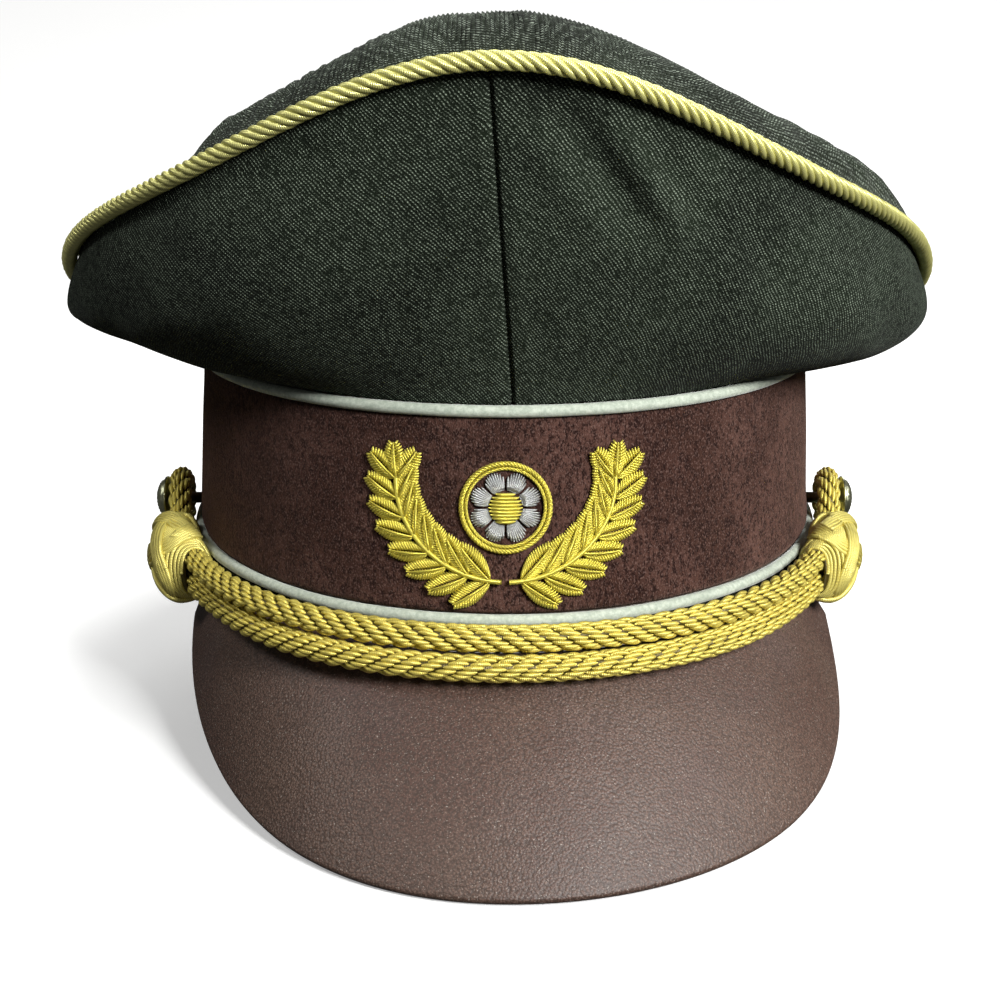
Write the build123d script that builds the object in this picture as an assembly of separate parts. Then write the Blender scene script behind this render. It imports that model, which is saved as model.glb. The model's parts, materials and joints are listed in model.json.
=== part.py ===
"""Military peaked cap, as an assembly of separate pieces. Millimetres, +Z up, front towards -Y.

The origin is the centre of the head opening, in the plane of the band's bottom edge. Left and right
are the wearer's, so left is +X.
"""
from build123d import *
import math
import os

# Band: an oval that leans inwards as it rises. Insets are measured inwards from its outer face.
BAND_HALF_WIDTH = 88.6
BAND_HALF_LENGTH = 105.7
BAND_LEAN = 0.0622  # how far the half width shrinks per mm of height
BASE_STRIP_TOP = 6.4
LOWER_PIPING_Z = 8.0
BAND_CLOTH_BOTTOM = 9.6
BAND_CLOTH_TOP = 55.6
UPPER_PIPING_Z = 57.2
PIPING_RADIUS = 1.4
PIPING_INSET = -0.2
CLOTH = 1.2
STIFFENER_TOP = 58.0
STIFFENER_INSETS = (1.25, 2.65)
LINING_INSETS = (4.2, 4.7)
LINING_BOTTOM = 22.0
LINING_RIM = 55.0
SWEATBAND_INSETS = (5.0, 6.0)
SWEATBAND_TOP = 38.0
SWEATBAND_FLANGE_INSET = 2.2
SWEATBAND_FLANGE = 0.8
FIT_GAP = 0.05  # clearance between pieces that are fitted tight

# Crown: its edge is an oval in plan, high in front, lowest just behind the sides.
CROWN_HALF_WIDTH = 113.25
CROWN_HALF_LENGTH = 124.05
CROWN_CENTRE = (-2.0, -1.6)  # the soft crown sits a little towards the wearer's right
CROWN_SIDE_Z = 75.9
CROWN_TILT = 38.0
CROWN_PEAK = 19.6  # further rise of the front's middle
CROWN_REAR_RISE = 42.0
CROWN_BOTTOM_Z = 58.8
CROWN_CLOTH = 1.4
# The crown's side is a Bezier curve in section. Each handle is (share outwards, share upwards), first
# where the side is flat, as in the middle of the front, then where it's full, as above the ears.
LOW_HANDLES = ((0.38, 0.30), (0.80, -0.12))
HIGH_HANDLES = ((0.78, 0.64), (1.45, 0.22))
FRONT_FULLNESS_POWER = 1.3
REAR_FLATTENING = 0.3
CROWN_MIDDLE_Z = 89.8
TOP_CLOTH = 1.2
TOP_EDGE_LIFT = 0.5  # gap between the quarters' upper edge and the top panel's underside
ROLL_HEIGHTS = (5.5, 13.0)  # how far the top panel swells over the spring wire, at the sides and in front
ROLL_WIDTH = 0.11  # as a share of the crown's radius
RING_STEPS = 48
EDGE_CORD_RADIUS = 2.25
EDGE_CORD_GAP = 0.15
EDGE_CORD_LIFT = 1.15
WIRE_RADIUS = 1.3
WIRE_INSET = 7.0
WIRE_SLEEVE = (2.0, 26.0)  # radius, length
STAY_HALF_ANGLE = 24.0
STAY_SHARES = (0.03, 0.90)  # where it starts and ends, as shares of the side's height
STAY_INSET = 2.2
STAY_THICKNESS = 1.8
LINING_CLOTH = 0.8
LINING_RISE = 24.0
LINING_DOME_POWER = 2.6
SHIELD_HALF_DIAGONALS = (38.0, 52.0)
SHIELD_CORNER_RADIUS = 6.0
SHIELD_GAP = 0.2
SHIELD_THICKNESS = 0.4

# Visor: a curved crescent that hangs from the front of the band.
VISOR_HALF_WIDTH = 87.0
VISOR_END_Y = -42.0
VISOR_END_Z = -12.5
VISOR_TIP_Y = -150.0
VISOR_TIP_Z = -39.4
VISOR_DROP_POWER = 2.3
VISOR_ROOT_INSET = 0.6
VISOR_ROOT_Z = -0.2
VISOR_BULGE = 3.5
VISOR_LAYERS = {
    "visor_top_leather": (0.0, 0.8),
    "visor_board": (0.85, 2.0),
    "visor_under_leather": (2.05, 2.7),
}

# Side buttons: one on each side, on one axis, which is the chin cord's pivot.
BUTTON_Y = -12.0
BUTTON_Z = 12.4
SHANK_RADIUS = 1.6
SHANK_HOLE_RADIUS = 1.7
SHANK_INNER_X = 82.8
WASHER_RADIUS = 5.0
WASHER_THICKNESS = 0.5
WASHER_OUTER_X = 83.9
BUTTON_RADIUS = 6.2
BUTTON_RIM_X = 97.1
BUTTON_RIM = 0.8
BUTTON_DOME = 2.4
SHANK_HOLE_REACH = 100.0

# Chin cord: two strands side by side in a plane that rises a little towards the back.
CORD_RADIUS = 3.3
CORD_SPACING = 6.75
CORD_PLANE_Z = 6.2
CORD_PLANE_SLOPE = 1.6  # degrees
CORD_FRONTS = {"upper": 113.3, "lower": 116.6}  # how far forward each strand reaches
CORD_SIDE_RADIUS = 140.3
CORD_SIDE_CENTRE_X = 46.6  # the side arc's centre is this far past the middle
CORD_END_ANGLE = 12.0  # where the side arc ends and the button loop starts
LOOP_RADIUS = 5.7
LOOP_UPPER_REACH = (3.0, 11.5)  # how far past the strand's end it starts to rise, and is level again
LOOP_LOWER_REACH = (6.5, 13.0)
LOOP_BEND_RADII = ((6.0, 5.0), (8.0, 8.0))  # on the way up, and on the way down
LOOP_STEPS = 44
KNOT_MIDDLE_ANGLE = 18.0
KNOT_HALF_ANGLE = 6.6
KNOT_WALL = (3.0, 0.7, 5.8)  # above and below, towards the band, away from the band
KNOT_GAP = 0.25
KNOT_ROUNDING = 0.6
KNOT_CORNER_EASE = 0.3  # how much less than a half circle its rounded section has

# Badge: a round boss over two leafy sprays that meet below it, laid on the band's front.
BOSS_Z = 35.0
BOSS_RADII = (10.8, 9.0, 4.2)
BOSS_HEIGHTS = (2.0, 1.6, 2.4)  # rim, field, centre
BOSS_GAP = 0.1
BADGE_GAP = 0.15
SPRAY_CENTRE_Z = 40.0
SPRAY_RADII = (25.5, 22.5)
SPRAY_ANGLES = (8.0, 92.0)  # from straight down
SPRAY_HEIGHT = 1.9
LEAF_PAIRS = 8
LEAF_SPREAD = 36.0
LEAF_LENGTH = 10.0
LEAF_SHORTENING = 0.3  # each pair's leaves are this much shorter than the last
LEAF_HALF_WIDTH = 1.9

SIDES = {"left": 1, "right": -1}


# ---- shared helpers -------------------------------------------------------------------------------
def band_half_axes(z, inset=0.0):
    """Half width and half length of the band's oval at height z."""
    share = 1 - BAND_LEAN * z / BAND_HALF_WIDTH
    return BAND_HALF_WIDTH * share - inset, BAND_HALF_LENGTH * share - inset


def band_point(angle, z, inset=0.0):
    """Point on the band's oval, with angle in radians from the front, positive towards the left."""
    half_width, half_length = band_half_axes(z, inset)
    return Vector(half_width * math.sin(angle), -half_length * math.cos(angle), z)


def oval_wire(z, inset):
    half_width, half_length = band_half_axes(z, inset)
    return Wire(Edge.make_ellipse(half_width, half_length, Plane((0, 0, z))))


def band_ring(bottom, top, insets):
    """Oval ring that follows the band's lean, between two heights and two insets."""
    outer, inner = (
        Solid.make_loft([oval_wire(bottom, inset), oval_wire(top, inset)], ruled=True) for inset in insets
    )
    return outer - inner


def curved_sheet(outer, inner, steps):
    """Solid between two surfaces, each a function of u and v from 0 to 1."""
    across, along = steps

    def skin(surface):
        rows = [[surface(i / across, j / along) for j in range(along + 1)] for i in range(across + 1)]
        return Face.make_surface_from_array_of_points(rows, tol=0.005)

    faces = [skin(outer), skin(inner)]
    rims = [Face.make_surface_from_curves(a, b) for a, b in zip(faces[0].edges(), faces[1].edges())]
    return Solid(Shell(Face.sew_faces(faces + rims)[0]))


def inwards(surface, distance):
    """The surface moved by distance against its normal, du x dv."""
    step = 1e-4

    def moved(u, v):
        low_u, low_v = min(u, 1 - step), min(v, 1 - step)
        along_u = surface(low_u + step, v) - surface(low_u, v)
        along_v = surface(u, low_v + step) - surface(u, low_v)
        return surface(u, v) - along_u.cross(along_v).normalized() * distance

    return moved


def rings_along(points, radius, closed):
    """Circles set square to a smooth line of points."""
    rings = []
    for i, point in enumerate(points):
        before = points[i - 1] if closed or i else point
        after = points[(i + 1) % len(points)] if closed or i < len(points) - 1 else point
        ahead = after - before
        sideways = ahead.cross(Vector(0, 0, 1))
        rings.append(Wire(Edge.make_circle(radius, Plane(point, x_dir=sideways, z_dir=ahead))))
    return rings


def closed_tube(points, radius):
    """Round tube that closes on itself, from two halves."""
    rings = rings_along(points, radius, closed=True)
    half = len(rings) // 2
    return Solid.make_loft(rings[: half + 1]) + Solid.make_loft(rings[half:] + rings[:1])


# ---- band -----------------------------------------------------------------------------------------
def shank_holes():
    """The two side buttons' holes, as one long bar across the cap on each side."""
    turned = Plane((0, BUTTON_Y, BUTTON_Z), x_dir=(0, 1, 0), z_dir=(1, 0, 0))
    bar = extrude(turned * Circle(SHANK_HOLE_RADIUS), SHANK_HOLE_REACH)
    return bar + mirror(bar, Plane.YZ)


def band_piping(z):
    half_width, half_length = band_half_axes(z, PIPING_INSET)
    path = Edge.make_ellipse(half_width, half_length, Plane((0, 0, z)))
    profile = Plane(path @ 0, z_dir=path % 0) * Circle(PIPING_RADIUS)
    return sweep(profile, path=path)


def sweatband():
    upright = band_ring(0, SWEATBAND_TOP, SWEATBAND_INSETS)
    flange = band_ring(-SWEATBAND_FLANGE, 0, (SWEATBAND_FLANGE_INSET, SWEATBAND_INSETS[1]))
    return upright + flange


def band_parts():
    holes = shank_holes()
    return {
        "band_base_strip": band_ring(0, BASE_STRIP_TOP, (0, CLOTH)),
        "band_piping_lower": band_piping(LOWER_PIPING_Z),
        "cap_band_velvet": band_ring(BAND_CLOTH_BOTTOM, BAND_CLOTH_TOP, (0, CLOTH)) - holes,
        "band_piping_upper": band_piping(UPPER_PIPING_Z),
        "band_stiffener": band_ring(0, STIFFENER_TOP, STIFFENER_INSETS) - holes,
        "lining_side_strip": band_ring(LINING_BOTTOM, LINING_RIM, LINING_INSETS),
        "sweatband": sweatband(),
    }


# ---- crown ----------------------------------------------------------------------------------------
def edge_rise(facing):
    """What the crown's edge adds to its even tilt, by the cosine of the angle from the front."""
    return CROWN_PEAK * facing**8 if facing > 0 else CROWN_REAR_RISE * facing**2


def edge_point(angle, outwards=0.0):
    """Point on the crown's edge, with angle in radians from the front, positive towards the left."""
    facing = math.cos(angle)
    x = CROWN_CENTRE[0] + (CROWN_HALF_WIDTH + outwards) * math.sin(angle)
    y = CROWN_CENTRE[1] - (CROWN_HALF_LENGTH + outwards) * facing
    return Vector(x, y, CROWN_SIDE_Z + CROWN_TILT * facing + edge_rise(facing))


def side_panel(angle, share):
    """Outer face of the crown's side, from the band (share 0) to the crown's edge (share 1)."""
    low, high = band_point(angle, CROWN_BOTTOM_Z), edge_point(angle)
    span = high - low
    facing = math.cos(angle)
    if facing > 0:
        fullness = abs(math.sin(angle)) ** FRONT_FULLNESS_POWER
    else:
        fullness = 1 - REAR_FLATTENING * facing**2

    def handle(flat, full):
        out, up = (a + (b - a) * fullness for a, b in zip(flat, full))
        return low + Vector(span.X * out, span.Y * out, span.Z * up)

    first, second = handle(*LOW_HANDLES), handle(*HIGH_HANDLES)
    rest = 1 - share
    return low * rest**3 + first * (3 * rest**2 * share) + second * (3 * rest * share**2) + high * share**3


def crown_quarter(start, end):
    """One of the four side panels, between two angles in degrees."""

    def outer(u, v):
        return side_panel(math.radians(start + (end - start) * u), v)

    return curved_sheet(outer, inwards(outer, CROWN_CLOTH), (16, 10))


def top_height(x, y):
    """Upper face of the crown's top panel: a saddle with a roll round its edge."""
    across = (x - CROWN_CENTRE[0]) / CROWN_HALF_WIDTH
    ahead = (CROWN_CENTRE[1] - y) / CROWN_HALF_LENGTH
    radius = math.hypot(across, ahead)
    facing = ahead / max(radius, 1e-9)
    rim = CROWN_SIDE_Z + edge_rise(facing) - CROWN_MIDDLE_Z
    saddle = CROWN_MIDDLE_Z + CROWN_TILT * ahead + rim * radius**2
    swell = ROLL_HEIGHTS[0] + (ROLL_HEIGHTS[1] - ROLL_HEIGHTS[0]) * max(facing, 0) ** 2
    inset = (1 - radius) / ROLL_WIDTH
    return saddle + TOP_CLOTH + TOP_EDGE_LIFT + swell * inset * math.exp(1 - inset)


def height_sheet(height, thickness, half_axes, centre, steps):
    """Oval sheet under a height function; its grid is a square one drawn out to the oval."""

    def upper(u, v):
        across, along = 2 * u - 1, 2 * v - 1
        x = centre[0] + half_axes[0] * across * math.sqrt(1 - along**2 / 2)
        y = centre[1] + half_axes[1] * along * math.sqrt(1 - across**2 / 2)
        return Vector(x, y, height(x, y))

    def lower(u, v):
        return upper(u, v) - Vector(0, 0, thickness)

    return curved_sheet(upper, lower, steps)


def crown_top_panel():
    return height_sheet(top_height, TOP_CLOTH, (CROWN_HALF_WIDTH, CROWN_HALF_LENGTH), CROWN_CENTRE, (40, 40))


def crown_ring(outwards, lift, radius):
    points = [
        edge_point(math.tau * i / RING_STEPS, outwards) + Vector(0, 0, lift) for i in range(RING_STEPS)
    ]
    return closed_tube(points, radius)


def wire_sleeve():
    """Short tube behind, where the spring wire's two ends meet."""
    radius, length = WIRE_SLEEVE
    half_angle = length / 2 / (CROWN_HALF_WIDTH - WIRE_INSET)
    points = [edge_point(math.pi + half_angle * k / 3, -WIRE_INSET) for k in range(-3, 4)]
    sleeve = Solid.make_loft(rings_along(points, radius, closed=False))
    return sleeve - Solid.make_loft(rings_along(points, WIRE_RADIUS + FIT_GAP, closed=False))


def front_stay():
    """Stiff board that holds the crown's front up, just behind the front quarters."""
    half = math.radians(STAY_HALF_ANGLE)
    low, high = STAY_SHARES

    def outer(u, v):
        return side_panel(half * (2 * u - 1), low + (high - low) * v)

    face = inwards(outer, STAY_INSET)
    return curved_sheet(face, inwards(face, STAY_THICKNESS), (12, 10))


def lining_height(x, y):
    half_width, half_length = band_half_axes(LINING_RIM, LINING_INSETS[0])
    radius = math.hypot(x / half_width, y / half_length)
    return LINING_RIM + LINING_CLOTH + LINING_RISE * (1 - radius**LINING_DOME_POWER)


def crown_lining():
    half_axes = band_half_axes(LINING_RIM, LINING_INSETS[0])
    return height_sheet(lining_height, LINING_CLOTH, half_axes, (0, 0), (20, 20))


def lining_sweat_shield():
    """Clear diamond sewn under the lining's middle."""
    half_x, half_y = SHIELD_HALF_DIAGONALS

    def under(x, y):
        return lining_height(x, y) - LINING_CLOTH - SHIELD_GAP

    blank = height_sheet(under, SHIELD_THICKNESS, (half_x * 1.1, half_y * 1.1), (0, 0), (12, 12))
    diamond = make_face(Polyline((half_x, 0), (0, half_y), (-half_x, 0), (0, -half_y), close=True))
    return blank & extrude(fillet(diamond.vertices(), SHIELD_CORNER_RADIUS), CROWN_MIDDLE_Z)


def crown_parts():
    quarters = {
        "crown_quarter_front_left": (0, 90),
        "crown_quarter_rear_left": (90, 180),
        "crown_quarter_rear_right": (180, 270),
        "crown_quarter_front_right": (270, 360),
    }
    parts = {name: crown_quarter(*angles) for name, angles in quarters.items()}
    parts["crown_top_panel"] = crown_top_panel()
    parts["crown_edge_cord"] = crown_ring(EDGE_CORD_RADIUS + EDGE_CORD_GAP, EDGE_CORD_LIFT, EDGE_CORD_RADIUS)
    parts["crown_spring_wire"] = crown_ring(-WIRE_INSET, 0, WIRE_RADIUS)
    parts["crown_wire_sleeve"] = wire_sleeve()
    parts["crown_front_stay"] = front_stay()
    parts["crown_lining"] = crown_lining()
    parts["lining_sweat_shield"] = lining_sweat_shield()
    return parts


# ---- visor ----------------------------------------------------------------------------------------
def visor_face(u, v):
    """Upper face of the visor, from its left end to its right and from the band to its outer edge."""
    turn = math.radians(90 - 180 * u)
    end_angle = math.acos(-VISOR_END_Y / BAND_HALF_LENGTH)
    root = band_point(end_angle * (1 - 2 * u), VISOR_ROOT_Z, VISOR_ROOT_INSET)
    forward = math.cos(turn)
    edge = Vector(
        VISOR_HALF_WIDTH * math.sin(turn),
        VISOR_END_Y + (VISOR_TIP_Y - VISOR_END_Y) * forward,
        VISOR_END_Z + (VISOR_TIP_Z - VISOR_END_Z) * (1 - (1 - forward) ** VISOR_DROP_POWER),
    )
    bulge = Vector(0, 0, VISOR_BULGE * 4 * v * (1 - v) * forward)
    return root + (edge - root) * v + bulge


def visor_parts():
    return {
        name: curved_sheet(inwards(visor_face, depths[0]), inwards(visor_face, depths[1]), (28, 8))
        for name, depths in VISOR_LAYERS.items()
    }


# ---- side buttons ---------------------------------------------------------------------------------
def button_profile():
    """Half section of a domed button with its shank, along the button's own axis (x) and radius (y)."""
    shank_length = BUTTON_RIM_X - SHANK_INNER_X
    outline = [
        (0, 0),
        (0, SHANK_RADIUS),
        (shank_length, SHANK_RADIUS),
        (shank_length, BUTTON_RADIUS),
        (shank_length + BUTTON_RIM, BUTTON_RADIUS),
        (shank_length + BUTTON_RIM, BUTTON_RADIUS - BUTTON_RIM),
    ]
    peak = (shank_length + BUTTON_RIM + BUTTON_DOME, 0)
    dome = TangentArc(peak, outline[-1], tangent=(0, 1))
    return make_face([*Polyline(*outline).edges(), dome.edge(), Line(peak, (0, 0)).edge()])


def button_parts():
    button = revolve(button_profile(), Axis.X, 360)
    washer = extrude(Circle(WASHER_RADIUS) - Circle(SHANK_RADIUS + FIT_GAP), WASHER_THICKNESS)
    parts = {}
    for side, sign in SIDES.items():
        placed = Pos(SHANK_INNER_X, BUTTON_Y, BUTTON_Z) * button
        backing = Pos(WASHER_OUTER_X - WASHER_THICKNESS, BUTTON_Y, BUTTON_Z) * Rot(0, 90, 0) * washer
        if sign < 0:
            placed, backing = mirror(placed, Plane.YZ), mirror(backing, Plane.YZ)
        parts[f"side_button_{side}"] = placed
        parts[f"button_washer_{side}"] = backing
    return parts


# ---- chin cord ------------------------------------------------------------------------------------
def cord_plane():
    slope = math.radians(CORD_PLANE_SLOPE)
    return Plane((0, 0, CORD_PLANE_Z), x_dir=(1, 0, 0), z_dir=(0, -math.sin(slope), math.cos(slope)))


def cord_strand(name, offset):
    """One strand round the front, from loop to loop: a front arc between two side arcs."""
    reach = CORD_FRONTS[name]
    slack = CORD_SIDE_RADIUS**2 - CORD_SIDE_CENTRE_X**2 - reach**2
    front_radius = slack / (2 * (CORD_SIDE_RADIUS - reach))
    front_centre = front_radius - reach
    junction = math.degrees(math.atan2(CORD_SIDE_CENTRE_X, -front_centre))
    side_sweep = 90 - junction - CORD_END_ANGLE
    arcs = [
        CenterArc((CORD_SIDE_CENTRE_X, 0), CORD_SIDE_RADIUS, 180 + CORD_END_ANGLE, side_sweep),
        CenterArc((0, front_centre), front_radius, 270 - junction, 2 * junction),
        CenterArc((-CORD_SIDE_CENTRE_X, 0), CORD_SIDE_RADIUS, junction - 90, side_sweep),
    ]
    path = cord_plane().offset(offset) * Wire([arc.edge() for arc in arcs])
    profile = Plane(path @ 0, z_dir=path % 0) * Circle(CORD_RADIUS)
    return sweep(profile, path=path)


def cord_loop(sign):
    """The cord's turn round a side button's shank, which carries the upper strand on into the lower.

    Its outline is drawn flat, as distance along the strands and height, then wrapped onto the side arc.
    """
    plane = cord_plane()
    start = math.radians(-CORD_END_ANGLE)
    button = plane.to_local_coords(Vector(0, BUTTON_Y, BUTTON_Z))
    centre = CORD_SIDE_RADIUS * (math.asin(button.Y / CORD_SIDE_RADIUS) - start)
    half = CORD_SPACING / 2
    high, low, back = button.Z + LOOP_RADIUS, button.Z - LOOP_RADIUS, centre + LOOP_RADIUS
    rise, level = LOOP_UPPER_REACH
    upper = [(0, half), (rise, half), (level, high), (back, high)]
    rise, level = LOOP_LOWER_REACH
    lower = [(back, low), (level, low), (rise, -half), (0, -half)]
    turn_radius = LOOP_RADIUS - FIT_GAP
    radii = [*LOOP_BEND_RADII[0], turn_radius, turn_radius, *LOOP_BEND_RADII[1]]
    outline = FilletPolyline(*upper, *lower, radius=radii)
    points = []
    for i in range(LOOP_STEPS + 1):
        along = outline @ (i / LOOP_STEPS)
        turn = start + along.X / CORD_SIDE_RADIUS
        x = CORD_SIDE_RADIUS * math.cos(turn) - CORD_SIDE_CENTRE_X
        points.append(plane.from_local_coords(Vector(sign * x, CORD_SIDE_RADIUS * math.sin(turn), along.Y)))
    return Solid.make_loft(rings_along(points, CORD_RADIUS, closed=False))


def cord_knot(sign):
    """Sliding knot: a barrel round both strands, turned about the side arc's own centre."""
    wall_above, wall_inside, wall_outside = KNOT_WALL
    hole_half = CORD_RADIUS + KNOT_GAP
    hole_height = CORD_SPACING + 2 * hole_half
    width = 2 * hole_half + wall_inside + wall_outside
    shift = (wall_outside - wall_inside) / 2
    barrel = RectangleRounded(width, hole_height + 2 * wall_above, width / 2 - KNOT_CORNER_EASE)
    hole = RectangleRounded(2 * hole_half, hole_height, hole_half - FIT_GAP)
    section = Plane.XZ * (Pos(CORD_SIDE_RADIUS + shift, 0) * barrel - Pos(CORD_SIDE_RADIUS, 0) * hole)
    body = revolve(section, Axis.Z, 2 * KNOT_HALF_ANGLE)
    ends = [face for face in body.faces().filter_by(GeomType.PLANE) if abs(face.normal_at().Z) < 0.5]
    body = fillet([edge for end in ends for edge in end.outer_wire().edges()], KNOT_ROUNDING)
    placed = Pos(-CORD_SIDE_CENTRE_X, 0, 0) * Rot(0, 0, -KNOT_MIDDLE_ANGLE - KNOT_HALF_ANGLE) * body
    return cord_plane() * (placed if sign > 0 else mirror(placed, Plane.YZ))


def chin_cord_parts():
    parts = {
        "chin_cord_upper": cord_strand("upper", CORD_SPACING / 2),
        "chin_cord_lower": cord_strand("lower", -CORD_SPACING / 2),
    }
    for side, sign in SIDES.items():
        parts[f"chin_cord_loop_{side}"] = cord_loop(sign)
        parts[f"chin_cord_knot_{side}"] = cord_knot(sign)
    return parts


# ---- badge -----------------------------------------------------------------------------------------
def laid_on_band(sketch, height):
    """A flat drawing in x and z, pressed onto the band's front and as thick as height."""
    shell = band_ring(BAND_CLOTH_BOTTOM, BAND_CLOTH_TOP, (-BADGE_GAP - height, -BADGE_GAP))
    front = Plane((0, 0, 0), x_dir=(1, 0, 0), z_dir=(0, -1, 0))
    return extrude(front * sketch, -VISOR_TIP_Y) & shell


def leaf(base, direction, length):
    """Pointed leaf from two arcs."""
    along = Vector(math.cos(direction), math.sin(direction))
    across = Vector(-along.Y, along.X) * LEAF_HALF_WIDTH
    tip, middle = base + along * length, base + along * (length / 2)
    sides = [ThreePointArc(base, middle + across, tip), ThreePointArc(tip, middle - across, base)]
    return make_face([side.edge() for side in sides])


def badge_spray(sign):
    """A branch that sweeps up from under the boss, with leaves in pairs along it and one at its tip."""
    start, end = (math.radians(angle) for angle in SPRAY_ANGLES)
    spread = math.radians(LEAF_SPREAD)
    leaves = []
    for k in range(LEAF_PAIRS + 1):
        angle = start + (end - start) * k / LEAF_PAIRS
        base = Vector(SPRAY_RADII[0] * math.sin(angle), SPRAY_CENTRE_Z - SPRAY_RADII[1] * math.cos(angle))
        turns = (-spread, spread) if k < LEAF_PAIRS else (0,)
        length = LEAF_LENGTH - LEAF_SHORTENING * k
        leaves += [leaf(base, angle + turn, length) for turn in turns]
    sketch = Sketch() + leaves
    if sign < 0:
        sketch = mirror(sketch, Plane.YZ)
    return laid_on_band(sketch, SPRAY_HEIGHT)


def badge_parts():
    rim, field, centre = BOSS_RADII
    middle = Pos(0, BOSS_Z)
    discs = {
        "badge_boss_rim": Circle(rim) - Circle(field),
        "badge_boss_field": Circle(field - BOSS_GAP) - Circle(centre),
        "badge_boss_centre": Circle(centre - BOSS_GAP),
    }
    parts = {
        name: laid_on_band(middle * disc, height)
        for (name, disc), height in zip(discs.items(), BOSS_HEIGHTS)
    }
    for side, sign in SIDES.items():
        parts[f"badge_spray_{side}"] = badge_spray(sign)
    return parts


def main():
    os.makedirs("parts", exist_ok=True)
    parts = {
        **band_parts(),
        **crown_parts(),
        **visor_parts(),
        **button_parts(),
        **chin_cord_parts(),
        **badge_parts(),
    }
    for name, shape in parts.items():
        export_step(shape, f"parts/{name}.step")


main()
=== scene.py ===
import json
import math

import bpy
import numpy as np
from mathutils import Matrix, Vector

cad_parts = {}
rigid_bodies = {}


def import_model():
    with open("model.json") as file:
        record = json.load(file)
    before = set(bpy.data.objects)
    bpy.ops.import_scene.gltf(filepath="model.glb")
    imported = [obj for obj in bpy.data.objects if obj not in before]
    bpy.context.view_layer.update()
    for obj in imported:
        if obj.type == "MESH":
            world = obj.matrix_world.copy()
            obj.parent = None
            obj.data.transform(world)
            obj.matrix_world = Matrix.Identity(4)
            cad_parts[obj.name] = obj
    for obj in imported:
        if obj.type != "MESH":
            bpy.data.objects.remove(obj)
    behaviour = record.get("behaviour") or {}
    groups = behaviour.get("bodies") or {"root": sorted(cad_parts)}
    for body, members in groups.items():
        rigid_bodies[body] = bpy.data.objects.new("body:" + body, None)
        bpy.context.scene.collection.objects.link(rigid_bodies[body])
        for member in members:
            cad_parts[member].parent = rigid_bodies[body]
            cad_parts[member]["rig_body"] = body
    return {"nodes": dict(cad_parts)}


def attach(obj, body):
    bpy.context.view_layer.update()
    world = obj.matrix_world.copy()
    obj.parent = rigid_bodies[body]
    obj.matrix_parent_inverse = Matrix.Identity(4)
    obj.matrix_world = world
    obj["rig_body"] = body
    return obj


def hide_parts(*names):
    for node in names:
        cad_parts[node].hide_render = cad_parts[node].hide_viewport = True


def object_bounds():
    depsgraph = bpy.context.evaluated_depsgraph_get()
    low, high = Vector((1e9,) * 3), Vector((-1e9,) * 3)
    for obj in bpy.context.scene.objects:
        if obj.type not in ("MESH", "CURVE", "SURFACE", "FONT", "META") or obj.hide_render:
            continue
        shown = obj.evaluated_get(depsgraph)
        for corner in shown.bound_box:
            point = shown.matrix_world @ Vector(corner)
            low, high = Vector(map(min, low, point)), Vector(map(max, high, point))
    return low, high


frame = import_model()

# Military peaked cap. Shapes are worked out in millimetres and turned into metres as meshes are made.
# +Z is up, the front is -Y, and left and right are the wearer's, so left is +X. Angles round the cap are
# in radians from the front, positive towards the left.

CAD_BOX = [list(corner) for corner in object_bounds()]
MM = 0.001
RNG = np.random.default_rng(11)
TAU = 2 * math.pi

# Band, as in the CAD model
BAND_HALF_WIDTH, BAND_HALF_LENGTH = 88.6, 105.7
BAND_LEAN = 0.0622

# Crown, as in the CAD model
CROWN_HALF_WIDTH, CROWN_HALF_LENGTH = 113.25, 124.05
CROWN_CENTRE = (-2.0, -1.6)
CROWN_SIDE_Z, CROWN_TILT, CROWN_PEAK, CROWN_REAR_RISE = 75.9, 38.0, 19.6, 42.0
CROWN_BOTTOM_Z, CROWN_MIDDLE_Z = 58.8, 89.8
TOP_LIFT = 1.7
ROLL_HEIGHTS = (5.5, 13.0)
ROLL_WIDTH = 0.11
EDGE_CORD_OUT, EDGE_CORD_LIFT = 2.4, 1.15
WIRE_INSET, WIRE_RADIUS, SLEEVE_RADIUS = 7.0, 1.3, 2.0

# Visor, as in the CAD model
VISOR_HALF_WIDTH, VISOR_END_Y, VISOR_END_Z = 87.0, -42.0, -12.5
VISOR_TIP_Y, VISOR_TIP_Z, VISOR_DROP_POWER = -150.0, -39.4, 2.3
VISOR_ROOT_INSET, VISOR_ROOT_Z, VISOR_BULGE = 0.6, -0.2, 3.5
VISOR_THICKNESS = 2.7
VISOR_SHIFT = (1.5, 3.4)  # how far it leans to the wearer's left, all along its rim and half way round

# Chin cord, as in the CAD model
BUTTON_Y, BUTTON_Z, BUTTON_RIM_X = -12.0, 12.4, 97.1
CORD_SPACING = 6.75
CORD_PLANE_Z, CORD_PLANE_SLOPE = 6.2, math.radians(1.6)
SLOPE_SIN, SLOPE_COS = math.sin(CORD_PLANE_SLOPE), math.cos(CORD_PLANE_SLOPE)
CORD_REACH = {"upper": 113.3, "lower": 116.6}
CORD_SIDE_RADIUS, CORD_SIDE_CENTRE_X = 140.3, 46.6
CORD_END_ANGLE = math.radians(12.0)
LOOP_RADIUS = 5.7
KNOT_MIDDLE_ANGLE = math.radians(18.0)
KNOT_REACH = 16.0  # from a knot's middle to its end

BADGE_Z = 35.0


# ---- mesh building ----
def unit(vectors):
    return vectors / np.linalg.norm(vectors, axis=-1, keepdims=True)


def turns(count):
    """Angles spaced evenly round a circle."""
    return np.arange(count) * TAU / count


def lattice(first, second):
    return np.meshgrid(first, second, indexing="ij")


def looped(rows):
    """Rows with the first one again at the end."""
    return np.concatenate([rows, rows[:1]])


def bell(value, width):
    """Smooth hump, 1 at zero and fading over width."""
    return np.exp(-((value / width) ** 2))


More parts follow.
